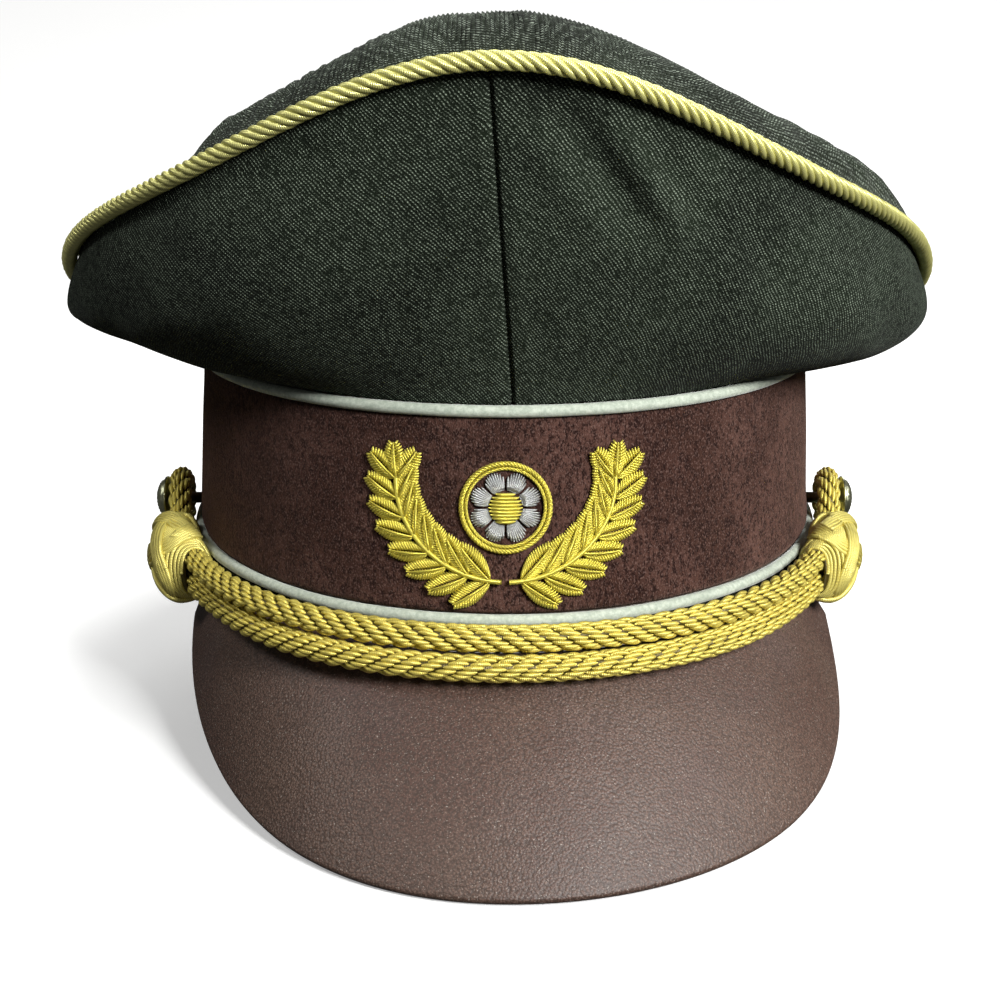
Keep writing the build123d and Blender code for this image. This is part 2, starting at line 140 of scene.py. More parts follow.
def direction(line, closed=True):
    """Unit vectors ahead along a line."""
    if closed:
        return unit(np.roll(line, -1, 0) - np.roll(line, 1, 0))
    return unit(np.gradient(line, axis=0))


def ease(value, start, end):
    """Smooth step from 0 at start to 1 at end."""
    share = ((value - start) / (end - start)).clip(0, 1)
    return share * share * (3 - 2 * share)


class Mesh:
    """Collects grids of points into one mesh. Each corner carries a weave vector: two lengths in mm that
    follow the cloth or thread, and a tone from 0 to 1 for the whole thread, or -1 for a core painted
    dark as shade in the gaps between strands."""

    def __init__(self):
        self.points, self.faces, self.weave = [], [], []
        self.count = 0

    def grid(self, points, weave, wrap=(False, False), flip=False):
        rows, columns = points.shape[:2]
        index = self.count + np.arange(rows * columns).reshape(rows, columns)
        if wrap[0]:
            index = looped(index)
        if wrap[1]:
            index = np.hstack([index, index[:, :1]])
        corners = [index[:-1, :-1], index[1:, :-1], index[1:, 1:], index[:-1, 1:]]
        values = [weave[:-1, :-1], weave[1:, :-1], weave[1:, 1:], weave[:-1, 1:]]
        if flip:
            corners.reverse()
            values.reverse()
        self.faces.append(np.stack(corners, -1).reshape(-1, 4))
        self.weave.append(np.stack(values, -2).reshape(-1, 3))
        self.points.append(points.reshape(-1, 3))
        self.count += rows * columns

    def tube(self, centres, radial, size, sides=8, wrap=False, tone=None):
        """Round or oval tube along centres, with closed ends unless it wraps round on itself. radial is
        each ring's outward direction, and size its half height along radial and half width across."""
        count = len(centres)
        ahead = direction(centres, wrap)
        radial = unit(radial - ahead * (radial * ahead).sum(1, keepdims=True))
        across = np.cross(ahead, radial)
        turn = turns(sides)
        half_height, half_width = (np.broadcast_to(part, (count,))[:, None, None] for part in size)
        rings = (
            centres[:, None]
            + radial[:, None] * np.cos(turn)[None, :, None] * half_height
            + across[:, None] * np.sin(turn)[None, :, None] * half_width
        )
        steps = np.linalg.norm(np.diff(centres, axis=0, append=centres[:1]), axis=1)
        length = np.concatenate([[0], np.cumsum(steps)])[: count + (1 if wrap else 0)]
        girth = np.linspace(0, TAU * float(np.mean(half_width)), sides + 1)
        weave = np.zeros((len(length), sides + 1, 3))
        weave[..., 0], weave[..., 1] = length[:, None], girth[None]
        weave[..., 2] = RNG.random() if tone is None else tone
        first = self.count
        self.grid(rings, weave, (wrap, True), flip=True)
        if not wrap:
            for start, turned in ((first, False), (first + (count - 1) * sides, True)):
                ends = [[i, i + 1, sides - 2 - i, sides - 1 - i] for i in range(sides // 2 - 1)]
                corners = start + np.array([end[::-1] if turned else end for end in ends])
                self.faces.append(corners)
                self.weave.append(np.repeat(weave[:1, :1].reshape(1, 3), corners.size, 0))

    def close_middle(self, points, wide, weave_of, flip=False):
        """Fill the hole inside a ring's last row with a fan round its middle."""
        hub = points[:, -1].mean(0)
        fan = np.stack([points[:, -1], np.repeat(hub[None], len(points), 0)], 1)
        laid = np.stack([wide[:, -1], np.repeat(hub[None], len(wide), 0)], 1)
        self.grid(fan, weave_of(laid), (True, False), flip)

    def object(self, name, material, body="cap", slot=None, replaces=(), thickness=0.0):
        """Make one object of it, in metres, that rides on a body and may take CAD nodes' place."""
        mesh = bpy.data.meshes.new(name)
        faces = np.concatenate(self.faces)
        mesh.from_pydata((np.concatenate(self.points) * MM).tolist(), [], faces.tolist())
        weave = mesh.attributes.new("weave", "FLOAT_VECTOR", "CORNER")
        weave.data.foreach_set("vector", np.concatenate(self.weave).ravel())
        mesh.polygons.foreach_set("use_smooth", np.ones(len(faces), bool))
        mesh.materials.append(material)
        mesh.update()
        piece = bpy.data.objects.new(name, mesh)
        bpy.context.collection.objects.link(piece)
        if thickness:
            solid = piece.modifiers.new("thickness", "SOLIDIFY")
            solid.thickness, solid.offset = thickness * MM, -1
        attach(piece, body)
        if replaces:
            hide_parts(*replaces)
        return piece


def weave_grid(u, v, tone=0.5):
    weave = np.zeros(u.shape + (3,))
    weave[..., 0], weave[..., 1], weave[..., 2] = u, v, tone
    return weave


def even_steps(points, step, closed=True):
    """Points an even distance apart along a line."""
    line = looped(points) if closed else points
    along = np.concatenate([[0], np.cumsum(np.linalg.norm(np.diff(line, axis=0), axis=1))])
    count = max(int(round(along[-1] / step)), 4)
    at = np.linspace(0, along[-1], count + 1)[: count if closed else count + 1]
    return np.stack([np.interp(at, along, line[:, k]) for k in range(3)], 1), along[-1]


def smooth_noise(points, scale, seed, octaves=3):
    """Smooth noise from -1 to 1 at points in mm, with features about scale mm across."""
    rng = np.random.default_rng(seed)
    total = np.zeros(points.shape[:-1])
    weight = 1.0
    for octave in range(octaves):
        waves = unit(rng.normal(size=(9, 3))) * (TAU / scale * 2**octave) * rng.uniform(0.6, 1.3, (9, 1))
        phases = rng.uniform(0, TAU, 9)
        total += weight * np.sin(points @ waves.T + phases).sum(-1) / 4.5
        weight *= 0.5
    return total / 1.75


# ---- materials ----
class Nodes:
    """A material's node tree, with short names for the nodes that these materials use."""

    def __init__(self, name):
        self.material = bpy.data.materials.new(name)
        self.material.use_nodes = True
        self.tree = self.material.node_tree
        self.shader = self.tree.nodes["Principled BSDF"]

    def node(self, kind, inputs=(), output=0, **settings):
        node = self.tree.nodes.new("ShaderNode" + kind)
        for key, value in settings.items():
            setattr(node, key, value)
        for key, value in dict(inputs).items():
            self.put(node.inputs[key], value)
        return node.outputs[output]

    def put(self, socket, value):
        if isinstance(value, bpy.types.NodeSocket):
            self.tree.links.new(value, socket)
        else:
            socket.default_value = value

    def math(self, operation, *values):
        return self.node("Math", enumerate(values), operation=operation)

    def times(self, *values):
        return self.math("MULTIPLY", *values)

    def weave(self):
        return self.node("Attribute", output="Vector", attribute_name="weave")

    def split(self, vector):
        node = self.tree.nodes.new("ShaderNodeSeparateXYZ")
        self.put(node.inputs[0], vector)
        return node.outputs

    def place(self):
        """Place on the object, in metres."""
        return self.node("TexCoord", output="Object")

    def scaled(self, vector, x, y, z):
        return self.node("Mapping", {"Vector": vector, "Scale": (x, y, z)})

    def noise(self, vector, scale, detail=2.0, roughness=0.5):
        inputs = {"Vector": vector, "Scale": scale, "Detail": detail, "Roughness": roughness}
        return self.node("TexNoise", inputs)

    def ramp(self, value, low, high, to_low=0.0, to_high=1.0):
        inputs = {"Value": value, "From Min": low, "From Max": high, "To Min": to_low, "To Max": to_high}
        return self.node("MapRange", inputs, interpolation_type="SMOOTHSTEP")

    def mix(self, factor, first, second):
        inputs = {0: factor, 6: (*first, 1) if isinstance(first, tuple) else first}
        inputs[7] = (*second, 1) if isinstance(second, tuple) else second
        return self.node("Mix", inputs, output=2, data_type="RGBA")

    def waves(self, vector, angle, pitch, wobble=None):
        """Stripes from 0 to 1, pitch mm apart, that run angle degrees from the weave's first axis."""
        u, v, _ = self.split(vector)
        turn = math.radians(angle)
        across = self.math("ADD", self.times(u, -math.sin(turn)), self.times(v, math.cos(turn)))
        if wobble is not None:
            across = self.math("ADD", across, wobble)
        wave = self.math("SINE", self.times(across, TAU / pitch))
        return self.math("MULTIPLY_ADD", wave, 0.5, 0.5)

    def bump(self, height, distance, strength=1.0, normal=None):
        inputs = {"Height": height, "Distance": distance * MM, "Strength": strength}
        if normal is not None:
            inputs["Normal"] = normal
        return self.node("Bump", inputs)

    def finish(self, colour, roughness, normal=None, **inputs):
        """Set the shader's inputs, where _ stands for a space, and return the material."""
        inputs = {"Base_Color": colour, "Roughness": roughness, **inputs}
        if normal is not None:
            inputs["Normal"] = normal
        for key, value in inputs.items():
            self.put(self.shader.inputs[key.replace("_", " ")], value)
        return self.material


def shade(colour, factor):
    return tuple(part * factor for part in colour)


def cloth(name, dark, light, angle, pitch, sheen=0.03):
    """Hard wool twill: slanting lines broken into short dashes, some bright and some hardly showing.
    The dashes are the twill's own pattern, and their bright colour is painted highlight on the raised
    threads.
    """
    n = Nodes(name)
    weave = n.weave()
    wobble = n.times(n.math("SUBTRACT", n.noise(weave, 0.16, 3.0, 0.65), 0.5), 1.6)
    lines = n.waves(weave, angle, pitch, wobble)
    breaks = n.waves(weave, angle + 78, pitch * 0.85, wobble)
    dashes = n.times(n.ramp(lines, 0.3, 0.95), n.ramp(breaks, 0.1, 0.85, 0.12, 1.0))
    speckle = n.noise(weave, 1.0, 2.0, 0.8)
    dashes = n.times(dashes, n.ramp(speckle, 0.34, 0.68, 0.0, 1.8))
    patches = n.noise(n.place(), 30.0, 4.0, 0.62)
    ground = n.mix(n.ramp(patches, 0.35, 0.65), shade(dark, 0.6), shade(dark, 1.5))
    worn = n.ramp(patches, 0.3, 0.7, 0.65, 1.0)
    # Painted highlight: the dashes take the light colour, for light caught on the raised threads of the
    # weave.
    colour = n.mix(n.times(dashes, worn), ground, light)
    height = n.math("ADD", dashes, n.times(speckle, 0.3))
    normal = n.bump(height, 0.35, 1.0)
    return n.finish(
        colour, 0.95, normal, Sheen_Weight=sheen, Sheen_Roughness=0.5, Specular_IOR_Level=0.08
    )


def velvet():
    """Short brown pile, brushed into lighter and darker patches, with painted shade in the hollows between
    its tufts, and tips that catch the light.
    """
    n = Nodes("brown_velvet")
    place, weave = n.place(), n.weave()
    patches = n.noise(n.scaled(place, 1, 1, 0.75), 34.0, 5.0, 0.68)
    bruised = n.noise(n.scaled(place, 1, 1, 1.6), 75.0, 3.0, 0.6)
    tufts = n.noise(n.scaled(weave, 1.0, 0.6, 1.0), 1.05, 3.0, 0.75)
    tips = n.noise(n.scaled(weave, 1.0, 0.7, 1.0), 2.3, 1.0, 0.5)
    base = n.mix(n.ramp(patches, 0.36, 0.66), (0.04, 0.0175, 0.0125), (0.098, 0.048, 0.037))
    base = n.mix(n.ramp(bruised, 0.5, 0.72, 0.0, 0.4), base, (0.03, 0.014, 0.011))
    # Painted shade: the pile goes almost black in the hollows between tufts.
    colour = n.mix(n.ramp(tufts, 0.4, 0.56, 0.95, 0.0), base, (0.014, 0.006, 0.005))
    colour = n.mix(n.ramp(tips, 0.5, 0.74, 0.0, 0.6), colour, (0.165, 0.1, 0.083))
    height = n.math("ADD", tufts, n.times(tips, 0.5))
    normal = n.bump(height, 0.5, 1.0)
    return n.finish(
        colour, 0.95, normal, Sheen_Weight=0.22, Sheen_Roughness=0.4,
        Sheen_Tint=(0.8, 0.52, 0.42, 1), Specular_IOR_Level=0.08,
    )


def felt(name, low, high):
    """Dense felted wool."""
    n = Nodes(name)
    grain = n.noise(n.place(), 900.0, 4.0, 0.7)
    cloud = n.noise(n.place(), 70.0, 2.0)
    colour = n.mix(n.ramp(grain, 0.3, 0.7), low, high)
    colour = n.mix(n.ramp(cloud, 0.45, 0.75, 0.0, 0.35), colour, shade(low, 0.75))
    normal = n.bump(grain, 0.25, 0.6)
    return n.finish(colour, 0.9, normal, Sheen_Weight=0.5, Sheen_Roughness=0.4)


def gold_thread(name, dark, bright, twist, pitch, metallic=0.55, wrap_depth=0.35, ridge=0.6):
    """Silk-cored metal thread: fine slanting wraps along each strand. A tone below zero paints the thread
    dark, as shade in the grooves between strands.
    """
    n = Nodes(name)
    weave = n.weave()
    _, _, tone = n.split(weave)
    wraps = n.waves(weave, twist, pitch)
    grime = n.noise(n.place(), 180.0, 3.0, 0.6)
    colour = n.mix(n.ramp(wraps, 0.15, 0.85, 1 - wrap_depth, 1.0), dark, bright)
    colour = n.mix(n.ramp(grime, 0.42, 0.8, 0.0, 0.35), colour, dark)
    thread_tint = n.times(n.math("MAXIMUM", tone, 0.0), 0.2)
    # Painted shade: a tone below zero darkens the colour, for the shade in the gaps between strands.
    core = n.math("MAXIMUM", n.times(tone, -1.0), 0.0)
    colour = n.mix(thread_tint, colour, shade(bright, 0.8))
    colour = n.mix(core, colour, shade(dark, 0.35))
    normal = n.bump(wraps, 0.1, ridge)
    return n.finish(colour, 0.33, normal, Metallic=metallic)


def visor_leather():
    """Fine pebbled brown leather with a half-worn gloss, tiny pale specks painted as glints, and painted
    shade towards its outer rim.
    """
    n = Nodes("visor_leather")
    place = n.place()
    cells = n.node("TexVoronoi", {"Vector": place, "Scale": 1500.0}, output="Distance", feature="F1")
    fine = n.noise(place, 2600.0, 3.0, 0.7)
    broad = n.noise(place, 19.0, 4.0, 0.6)
    tint = n.noise(place, 33.0, 2.0, 0.5)
    specks = n.noise(place, 2700.0, 0.0)
    base = n.mix(n.ramp(broad, 0.34, 0.68), (0.088, 0.043, 0.031), (0.13, 0.078, 0.057))
    base = n.mix(n.ramp(tint, 0.5, 0.75, 0.0, 0.5), base, (0.11, 0.07, 0.064))
    # Painted shade: the leather goes darker from 36 to 60 mm out from the band, towards the outer rim.
    _, inwards, _ = n.split(n.weave())
    base = n.mix(n.ramp(inwards, 36.0, 60.0, 0.0, 0.3), base, (0.05, 0.03, 0.023))
    colour = n.mix(n.ramp(cells, 0.2, 0.7, 0.0, 0.7), base, (0.035, 0.022, 0.016))
    colour = n.mix(n.ramp(fine, 0.5, 0.74, 0.0, 0.7), colour, (0.25, 0.175, 0.135))
    # Painted glints: tiny pale specks stand for sparkles of light on the grain.
    colour = n.mix(n.ramp(specks, 0.72, 0.84, 0.0, 0.6), colour, (0.42, 0.37, 0.32))
    height = n.math("SUBTRACT", n.times(fine, 0.5), cells)
    normal = n.bump(height, 0.16, 0.75)
    rough = n.ramp(broad, 0.3, 0.7, 0.56, 0.44)
    return n.finish(colour, rough, normal, Specular_IOR_Level=0.5)


def smooth_leather(name, low, high):
    """Leather with a net of fine creases."""
    n = Nodes(name)
    place = n.place()
    cells = {"Vector": place, "Scale": 420.0}
    creases = n.node("TexVoronoi", cells, output="Distance", feature="DISTANCE_TO_EDGE")
    broad = n.noise(place, 30.0, 4.0, 0.6)
    colour = n.mix(n.ramp(broad, 0.3, 0.7), low, high)
    normal = n.bump(n.ramp(creases, 0.0, 0.12), 0.12, 0.5)
    return n.finish(colour, n.ramp(broad, 0.3, 0.7, 0.4, 0.6), normal)


def satin():
    """Lining satin: a fine weave with a soft gloss, and painted sheen and shade along its folds."""
    n = Nodes("lining_satin")
    weave = n.weave()
    threads = n.waves(weave, 0, 0.35)
    folds = n.noise(n.place(), 45.0, 3.0)
    # Painted sheen and shade: lighter on the crests of the folds and darker in their hollows.
    colour = n.mix(n.ramp(folds, 0.3, 0.7), (0.3, 0.17, 0.055), (0.46, 0.29, 0.1))
    normal = n.bump(threads, 0.04, 0.5, n.bump(folds, 0.8, 0.5))
    return n.finish(colour, 0.38, normal, Sheen_Weight=0.3)


def metal(name, low, high, roughness=0.35):
    """Lightly scratched metal, tarnished in patches."""
    n = Nodes(name)
    scratches = n.noise(n.scaled(n.place(), 1, 1, 6), 600.0, 3.0, 0.6)
    tarnish = n.noise(n.place(), 120.0, 3.0, 0.6)
    colour = n.mix(n.ramp(tarnish, 0.35, 0.7), high, low)
    normal = n.bump(scratches, 0.03, 0.5)
    rough = n.ramp(scratches, 0.3, 0.7, roughness * 0.8, roughness * 1.2)
    return n.finish(colour, rough, normal, Metallic=1.0)


def board():
    n = Nodes("fibre_board")
    fibres = n.noise(n.scaled(n.place(), 1, 1, 4), 300.0, 4.0, 0.7)
    colour = n.mix(fibres, (0.05, 0.04, 0.03), (0.13, 0.1, 0.075))
    return n.finish(colour, 0.8, n.bump(fibres, 0.1, 0.6))


def clear_film():
    n = Nodes("clear_film")
    haze = n.noise(n.place(), 60.0, 2.0)
    colour = n.mix(haze, (0.85, 0.8, 0.6), (0.95, 0.93, 0.8))
    return n.finish(colour, 0.12, n.bump(haze, 0.6, 0.4), Alpha=0.35)


SIDE_CLOTH = cloth("crown_cloth", (0.006, 0.009, 0.005), (0.26, 0.315, 0.235), -50, 0.76)
TOP_CLOTH = cloth("top_cloth", (0.013, 0.017, 0.011), (0.27, 0.315, 0.25), 12, 0.8, 0.04)
STRIP_CLOTH = cloth("strip_cloth", (0.008, 0.01, 0.005), (0.035, 0.042, 0.024), 60, 0.7)
VELVET = velvet()
PIPING_FELT = felt("piping_felt", (0.35, 0.4, 0.32), (0.55, 0.6, 0.5))
EDGE_GOLD = gold_thread("edge_cord_gold", (0.15, 0.14, 0.025), (0.82, 0.79, 0.29), 70, 0.4, 0.5, 0.35)
CHIN_GOLD = gold_thread("chin_cord_gold", (0.19, 0.14, 0.016), (0.9, 0.75, 0.16), 84, 0.42, 0.45, 0.25)
KNOT_GOLD = gold_thread("knot_gold", (0.19, 0.14, 0.016), (0.97, 0.85, 0.23), 72, 0.42, 0.3, 0.4, 0.6)
BULLION = gold_thread("gold_bullion", (0.15, 0.115, 0.01), (0.86, 0.75, 0.12), 84, 0.3, 0.65, 0.25)
SILVER_BULLION = gold_thread("silver_bullion", (0.13, 0.13, 0.13), (0.62, 0.63, 0.62), 84, 0.22, 0.8)
LEATHER = visor_leather()
UNDER_LEATHER = smooth_leather("under_leather", (0.03, 0.035, 0.02), (0.05, 0.06, 0.035))
SWEAT_LEATHER = smooth_leather("sweat_leather", (0.22, 0.11, 0.045), (0.36, 0.2, 0.09))
SATIN = satin()
THREAD = gold_thread("sewing_thread", (0.25, 0.2, 0.12), (0.6, 0.52, 0.36), 60, 0.2, 0.0)
BUTTON_METAL = metal("button_metal", (0.3, 0.3, 0.16), (0.78, 0.8, 0.55))
STEEL = metal("steel", (0.3, 0.3, 0.3), (0.55, 0.55, 0.55))
BOARD = board()
FILM = clear_film()


# ---- shapes of the cap ----
def band_axes(z, inset=0.0):
    """The band oval's half width and half length at height z, inset mm inside its face."""
    share = 1 - BAND_LEAN * z / BAND_HALF_WIDTH
    return BAND_HALF_WIDTH * share - inset, BAND_HALF_LENGTH * share - inset


def band_point(angle, z, inset=0.0):
    """Point on the band's face at height z, inset mm inside it."""
    half_width, half_length = band_axes(z, inset)
    return np.stack(np.broadcast_arrays(half_width * np.sin(angle), -half_length * np.cos(angle), z), -1)


def edge_rise(facing):
    """Extra height of the crown's edge in front and behind; facing is 1 at the front, -1 behind."""
    return np.where(facing > 0, CROWN_PEAK * facing**8, CROWN_REAR_RISE * facing**2)


def side_sag(angle):
    """How far the crown's edge droops at the sides, and how far it spreads there, in mm."""
    sideways = np.sin(angle)
    near = bell(np.cos(angle), 0.42)
    return near * np.where(sideways > 0, 6.0, 4.2), near * 2.0


def edge_point(angle, outwards=0.0, lift=0.0):
    """Point on the crown's edge, or outwards and lift mm from it."""
    facing = np.cos(angle)
    drop, spread = side_sag(angle)
    outwards, lift = outwards + spread, lift - drop
    x = CROWN_CENTRE[0] + (CROWN_HALF_WIDTH + outwards) * np.sin(angle)
    y = CROWN_CENTRE[1] - (CROWN_HALF_LENGTH + outwards) * facing
    return np.stack([x, y, CROWN_SIDE_Z + CROWN_TILT * facing + edge_rise(facing) + lift], -1)


def side_panel(angle, share):
    """Crown's side from the band (share 0) to its edge (share 1)."""
    low, high = band_point(angle, CROWN_BOTTOM_Z), edge_point(angle)
    span = high - low
    facing = np.cos(angle)
    fullness = np.where(facing > 0, np.abs(np.sin(angle)) ** 1.3, 1 - 0.3 * facing**2)[..., None]

    def handle(flat, full):
        weights = np.array(flat) + (np.array(full) - np.array(flat)) * fullness
        return low + span * weights[..., [0, 0, 1]]

    first, second = handle((0.38, 0.30), (0.80, -0.12)), handle((0.78, 0.64), (1.45, 0.22))
    s = share[..., None]
    return low * (1 - s) ** 3 + first * 3 * (1 - s) ** 2 * s + second * 3 * (1 - s) * s**2 + high * s**3


def top_height(x, y):
    """Height of the top panel before its folds: a saddle, and a swell where it rolls over the wire."""
    across = (x - CROWN_CENTRE[0]) / CROWN_HALF_WIDTH
    ahead = (CROWN_CENTRE[1] - y) / CROWN_HALF_LENGTH
    radius = np.hypot(across, ahead)
    facing = ahead / np.maximum(radius, 1e-9)
    rim = CROWN_SIDE_Z + edge_rise(facing) - CROWN_MIDDLE_Z
    saddle = CROWN_MIDDLE_Z + CROWN_TILT * ahead + rim * radius**2
    swell = ROLL_HEIGHTS[0] + (ROLL_HEIGHTS[1] - ROLL_HEIGHTS[0]) * np.maximum(facing, 0) ** 2
    inset = (1 - radius) / ROLL_WIDTH
    return saddle + TOP_LIFT + swell * inset * np.exp(1 - inset)


def grid_normals(points):
    return unit(np.cross(np.gradient(points, axis=0), np.gradient(points, axis=1)))


def arc_lengths(points, axis):
    steps = np.linalg.norm(np.diff(points, axis=axis), axis=-1)
    total = np.cumsum(steps, axis=axis)
    pad = np.zeros_like(np.take(total, [0], axis=axis))
    return np.concatenate([pad, total], axis=axis)


# ---- crown ----
# Folds round the sides: where each starts and ends as (degrees from the front, share of height), its
# half width and its depth in mm. One that stands out has a depth below zero.
FOLDS = [
    ((5, 0.99), (17, 0.66), 5.2, 3.2),
    ((10, 0.97), (22, 0.7), 3.4, -1.2),
    ((14, 0.97), (27, 0.72), 4.2, 1.6),
    ((22, 0.96), (38, 0.62), 5.0, 1.0),
    ((-22, 0.93), (-44, 0.60), 6.0, 0.8),
    ((-40, 0.9), (-63, 0.5), 7.0, 1.0),
    ((48, 0.9), (66, 0.45), 7.0, 1.0),
    ((70, 0.35), (98, 0.12), 6.0, 0.9),
    ((-72, 0.35), (-98, 0.12), 6.0, 0.9),
]
# Degrees round that the front seam starts, and that it leans back by the top
SEAM_LEAN = (1.1, 1.9)


def fold_depth(angle, share):
    """How far the folds push the cloth in, in mm."""
    depth = np.zeros_like(angle)
    mm_across, mm_up = 1.95, 78.0
    for start, end, width, deep in FOLDS:
        a = np.array([start[0] * mm_across, start[1] * mm_up])
        b = np.array([end[0] * mm_across, end[1] * mm_up])
        place = np.stack([np.degrees(angle) * mm_across, share * mm_up], -1)
        along = ((place - a) @ (b - a) / ((b - a) @ (b - a))).clip(0, 1)
        away = np.linalg.norm(place - a - along[..., None] * (b - a), axis=-1)
        valley = bell(away, width) - 0.45 * bell(away - 1.9 * width, width)
        depth += deep * valley * np.sin(math.pi * (0.12 + 0.88 * along)) ** 0.7
    return depth


def crown_quarter(name, start, end):
    """One sewn panel of the crown's side, from start to end in degrees round from the front."""
    columns, rows = 300, 120
    share = np.linspace(0, 1, columns)
    share = share - 0.8 / TAU * np.sin(TAU * share)
    a, s = lattice(start + (end - start) * share, np.linspace(0, 1, rows))
    angle = np.radians(a)
    wrapped = (angle + math.pi) % TAU - math.pi
    angle = angle + np.radians(SEAM_LEAN[0] - SEAM_LEAN[1] * s) * bell(wrapped, 0.35)
    points = side_panel(angle, s)
    normal = grid_normals(points)
    swell = smooth_noise(points, 75, 3, 2) * 1.1 + smooth_noise(points, 24, 4, 2) * 0.3
    loose = np.sin(math.pi * s) ** 0.8
    u, v = arc_lengths(points, 0), arc_lengths(points, 1)
    from_seam = np.minimum(u, u[-1:] - u)
    seam = 1.1 * bell(from_seam, 0.55) - 0.3 * bell(from_seam - 3.2, 1.8)
    pucker = np.sin(u * TAU / 3.4 + 2.2 * smooth_noise(points, 30, 6, 1)) * 0.14 * np.exp(-v / 4.0)
    top_pucker = 0.16 * np.sin(u * TAU / 4.1) * np.exp(-(v[:, -1:] - v) / 5.0)
    hollow = 4.2 * bell(np.degrees(wrapped) + 82, 34) * bell(s - 0.36, 0.22)
    shift = loose * (swell - fold_depth(wrapped, s)) - seam + pucker + top_pucker - hollow
    points = points + normal * shift[..., None]
    mesh = Mesh()
    mesh.grid(points, weave_grid(u[:, rows // 2, None] * np.ones(rows), v))
    panel = mesh.object(name, SIDE_CLOTH, slot="crown_cloth", replaces=[name], thickness=1.2)


def crown_top():
    """Top panel: the cloth's ribs stand up where it rolls over the wire, puffed out more on the left."""
    per_rib = 3
    columns = 707 * per_rib
    rows = np.concatenate([1 - np.linspace(0, 1, 22) ** 1.25 * 0.3, np.linspace(0.7, 0.012, 17)[1:]])
    angle, radius = lattice(turns(columns), rows)
    x = CROWN_CENTRE[0] + CROWN_HALF_WIDTH * radius * np.sin(angle)
    y = CROWN_CENTRE[1] - CROWN_HALF_LENGTH * radius * np.cos(angle)
    flat = np.stack([x, y, np.zeros_like(x)], -1)
    degrees = np.degrees((angle + math.pi) % TAU - math.pi)
    inset = (1 - radius) / ROLL_WIDTH
    on_roll = (inset * np.exp(1 - inset)).clip(0, 1)
    ribs = np.sin(angle * columns / per_rib + 2.2 * smooth_noise(flat, 22, 21, 2))
    ribs = ribs * (1 - ease(np.abs(degrees), 60, 90))
    strength = 0.52 + 0.16 * smooth_noise(flat, 18, 22, 2)
    fade = np.minimum(inset * 2.5, 1) * np.exp(-np.maximum(inset - 0.9, 0) * 0.9)
    pleats = np.abs(np.sin(angle * 108 + 2.5 * smooth_noise(flat, 30, 23, 2))) ** 0.5 - 0.7
    pleats = pleats * ease(-degrees, 8, 22) * (1 - ease(-degrees, 36, 42)) * 1.7
    slack = smooth_noise(flat, 70, 24, 2) * 1.4 + smooth_noise(flat, 15, 25, 2) * 0.4
    flattened = 6.0 * ease(-degrees, 34, 39) * (1 - 0.5 * ease(-degrees, 52, 75))
    flattened = flattened * (1 - ease(-degrees, 100, 140))
    puffed = 3.2 * ease(degrees, 12, 50) * (1 - ease(degrees, 72, 84))
    in_front = bell(degrees, 40)
    peak = -0.0385 * x * in_front
    dip = 2.6 * ease(-degrees, 8, 24) * (1 - ease(-degrees, 100, 160)) + 1.1 * in_front
    drop, spread = side_sag(angle)
    near_rim = ease(radius, 0.62, 1.0)
    lift = ribs * strength * fade + (pleats + slack + puffed - flattened - dip + peak) * on_roll
    outwards = puffed * 0.55 * on_roll + spread * near_rim
    z = top_height(x, y) + lift - drop * near_rim
    points = np.stack([x + outwards * np.sin(angle), y - outwards * np.cos(angle), z], -1)
    mesh = Mesh()
    wide = looped(points)
    rolled = (4.0 + 7.0 * np.maximum(np.cos(angle), 0) ** 2) * on_roll
    rolled = looped(rolled)
    turned = np.vstack([angle, angle[:1] + TAU])
    weave = weave_grid(wide[..., 0] - rolled * np.sin(turned), -wide[..., 1] - rolled * np.cos(turned))
    mesh.grid(points, weave, (True, False), flip=True)
    mesh.close_middle(points, wide, lambda laid: weave_grid(laid[..., 0], -laid[..., 1]), flip=True)
    replaced = ["crown_top_panel"]
    panel = mesh.object("crown_top", TOP_CLOTH, slot="top_cloth", replaces=replaced, thickness=1.1)


def frames_along(line, closed=True):
    """Level side and raised side at each point of a line."""
    ahead = direction(line, closed)
    side = unit(np.cross(ahead, [0, 0, 1.0]))
    return side, np.cross(side, ahead)


def edge_cord():
    """Twisted cord: five full strands round a core, each strand slightly uneven."""
    line, length = even_steps(edge_point(turns(2000), EDGE_CORD_OUT, EDGE_CORD_LIFT), 0.62)
    side, up = frames_along(line)
    strands, twist_length = 5, 13.2
    phase = np.arange(len(line)) / len(line) * TAU * round(length / twist_length)
    mesh = Mesh()
    # The core tube is painted dark, as shade in the grooves between the strands.
    mesh.tube(line, up, (1.2, 1.2), 10, wrap=True, tone=-1.0)
    for k in range(strands):
        turn = -phase + TAU * k / strands
        radial = side * np.cos(turn)[:, None] + up * np.sin(turn)[:, None]
        wobble = 0.05 * np.sin(phase * 0.37 + k * 2.0)
        centres = line + radial * (1.22 + wobble)[:, None]
        mesh.tube(centres, radial, (0.88, 0.8), 10, wrap=True, tone=k / strands)
    mesh.object("edge_cord", EDGE_GOLD, slot="gold_cord", replaces=["crown_edge_cord"])


def spring_wire():
    """Spring wire inside the crown's edge, and the sleeve behind where its two ends meet."""
    wire, sleeve = Mesh(), Mesh()
    line, _ = even_steps(edge_point(turns(720), -WIRE_INSET), 1.5)
    _, up = frames_along(line)
    wire.tube(line, up, (WIRE_RADIUS, WIRE_RADIUS), 12, wrap=True)
    line = edge_point(math.pi + np.linspace(-0.12, 0.12, 25), -WIRE_INSET)
    _, up = frames_along(line, closed=False)
    sleeve.tube(line, up, (SLEEVE_RADIUS, SLEEVE_RADIUS), 16)
    wire.object("spring_wire", STEEL, slot="steel", replaces=["crown_spring_wire"])
    sleeve.object("wire_sleeve", STEEL, slot="steel", replaces=["crown_wire_sleeve"])


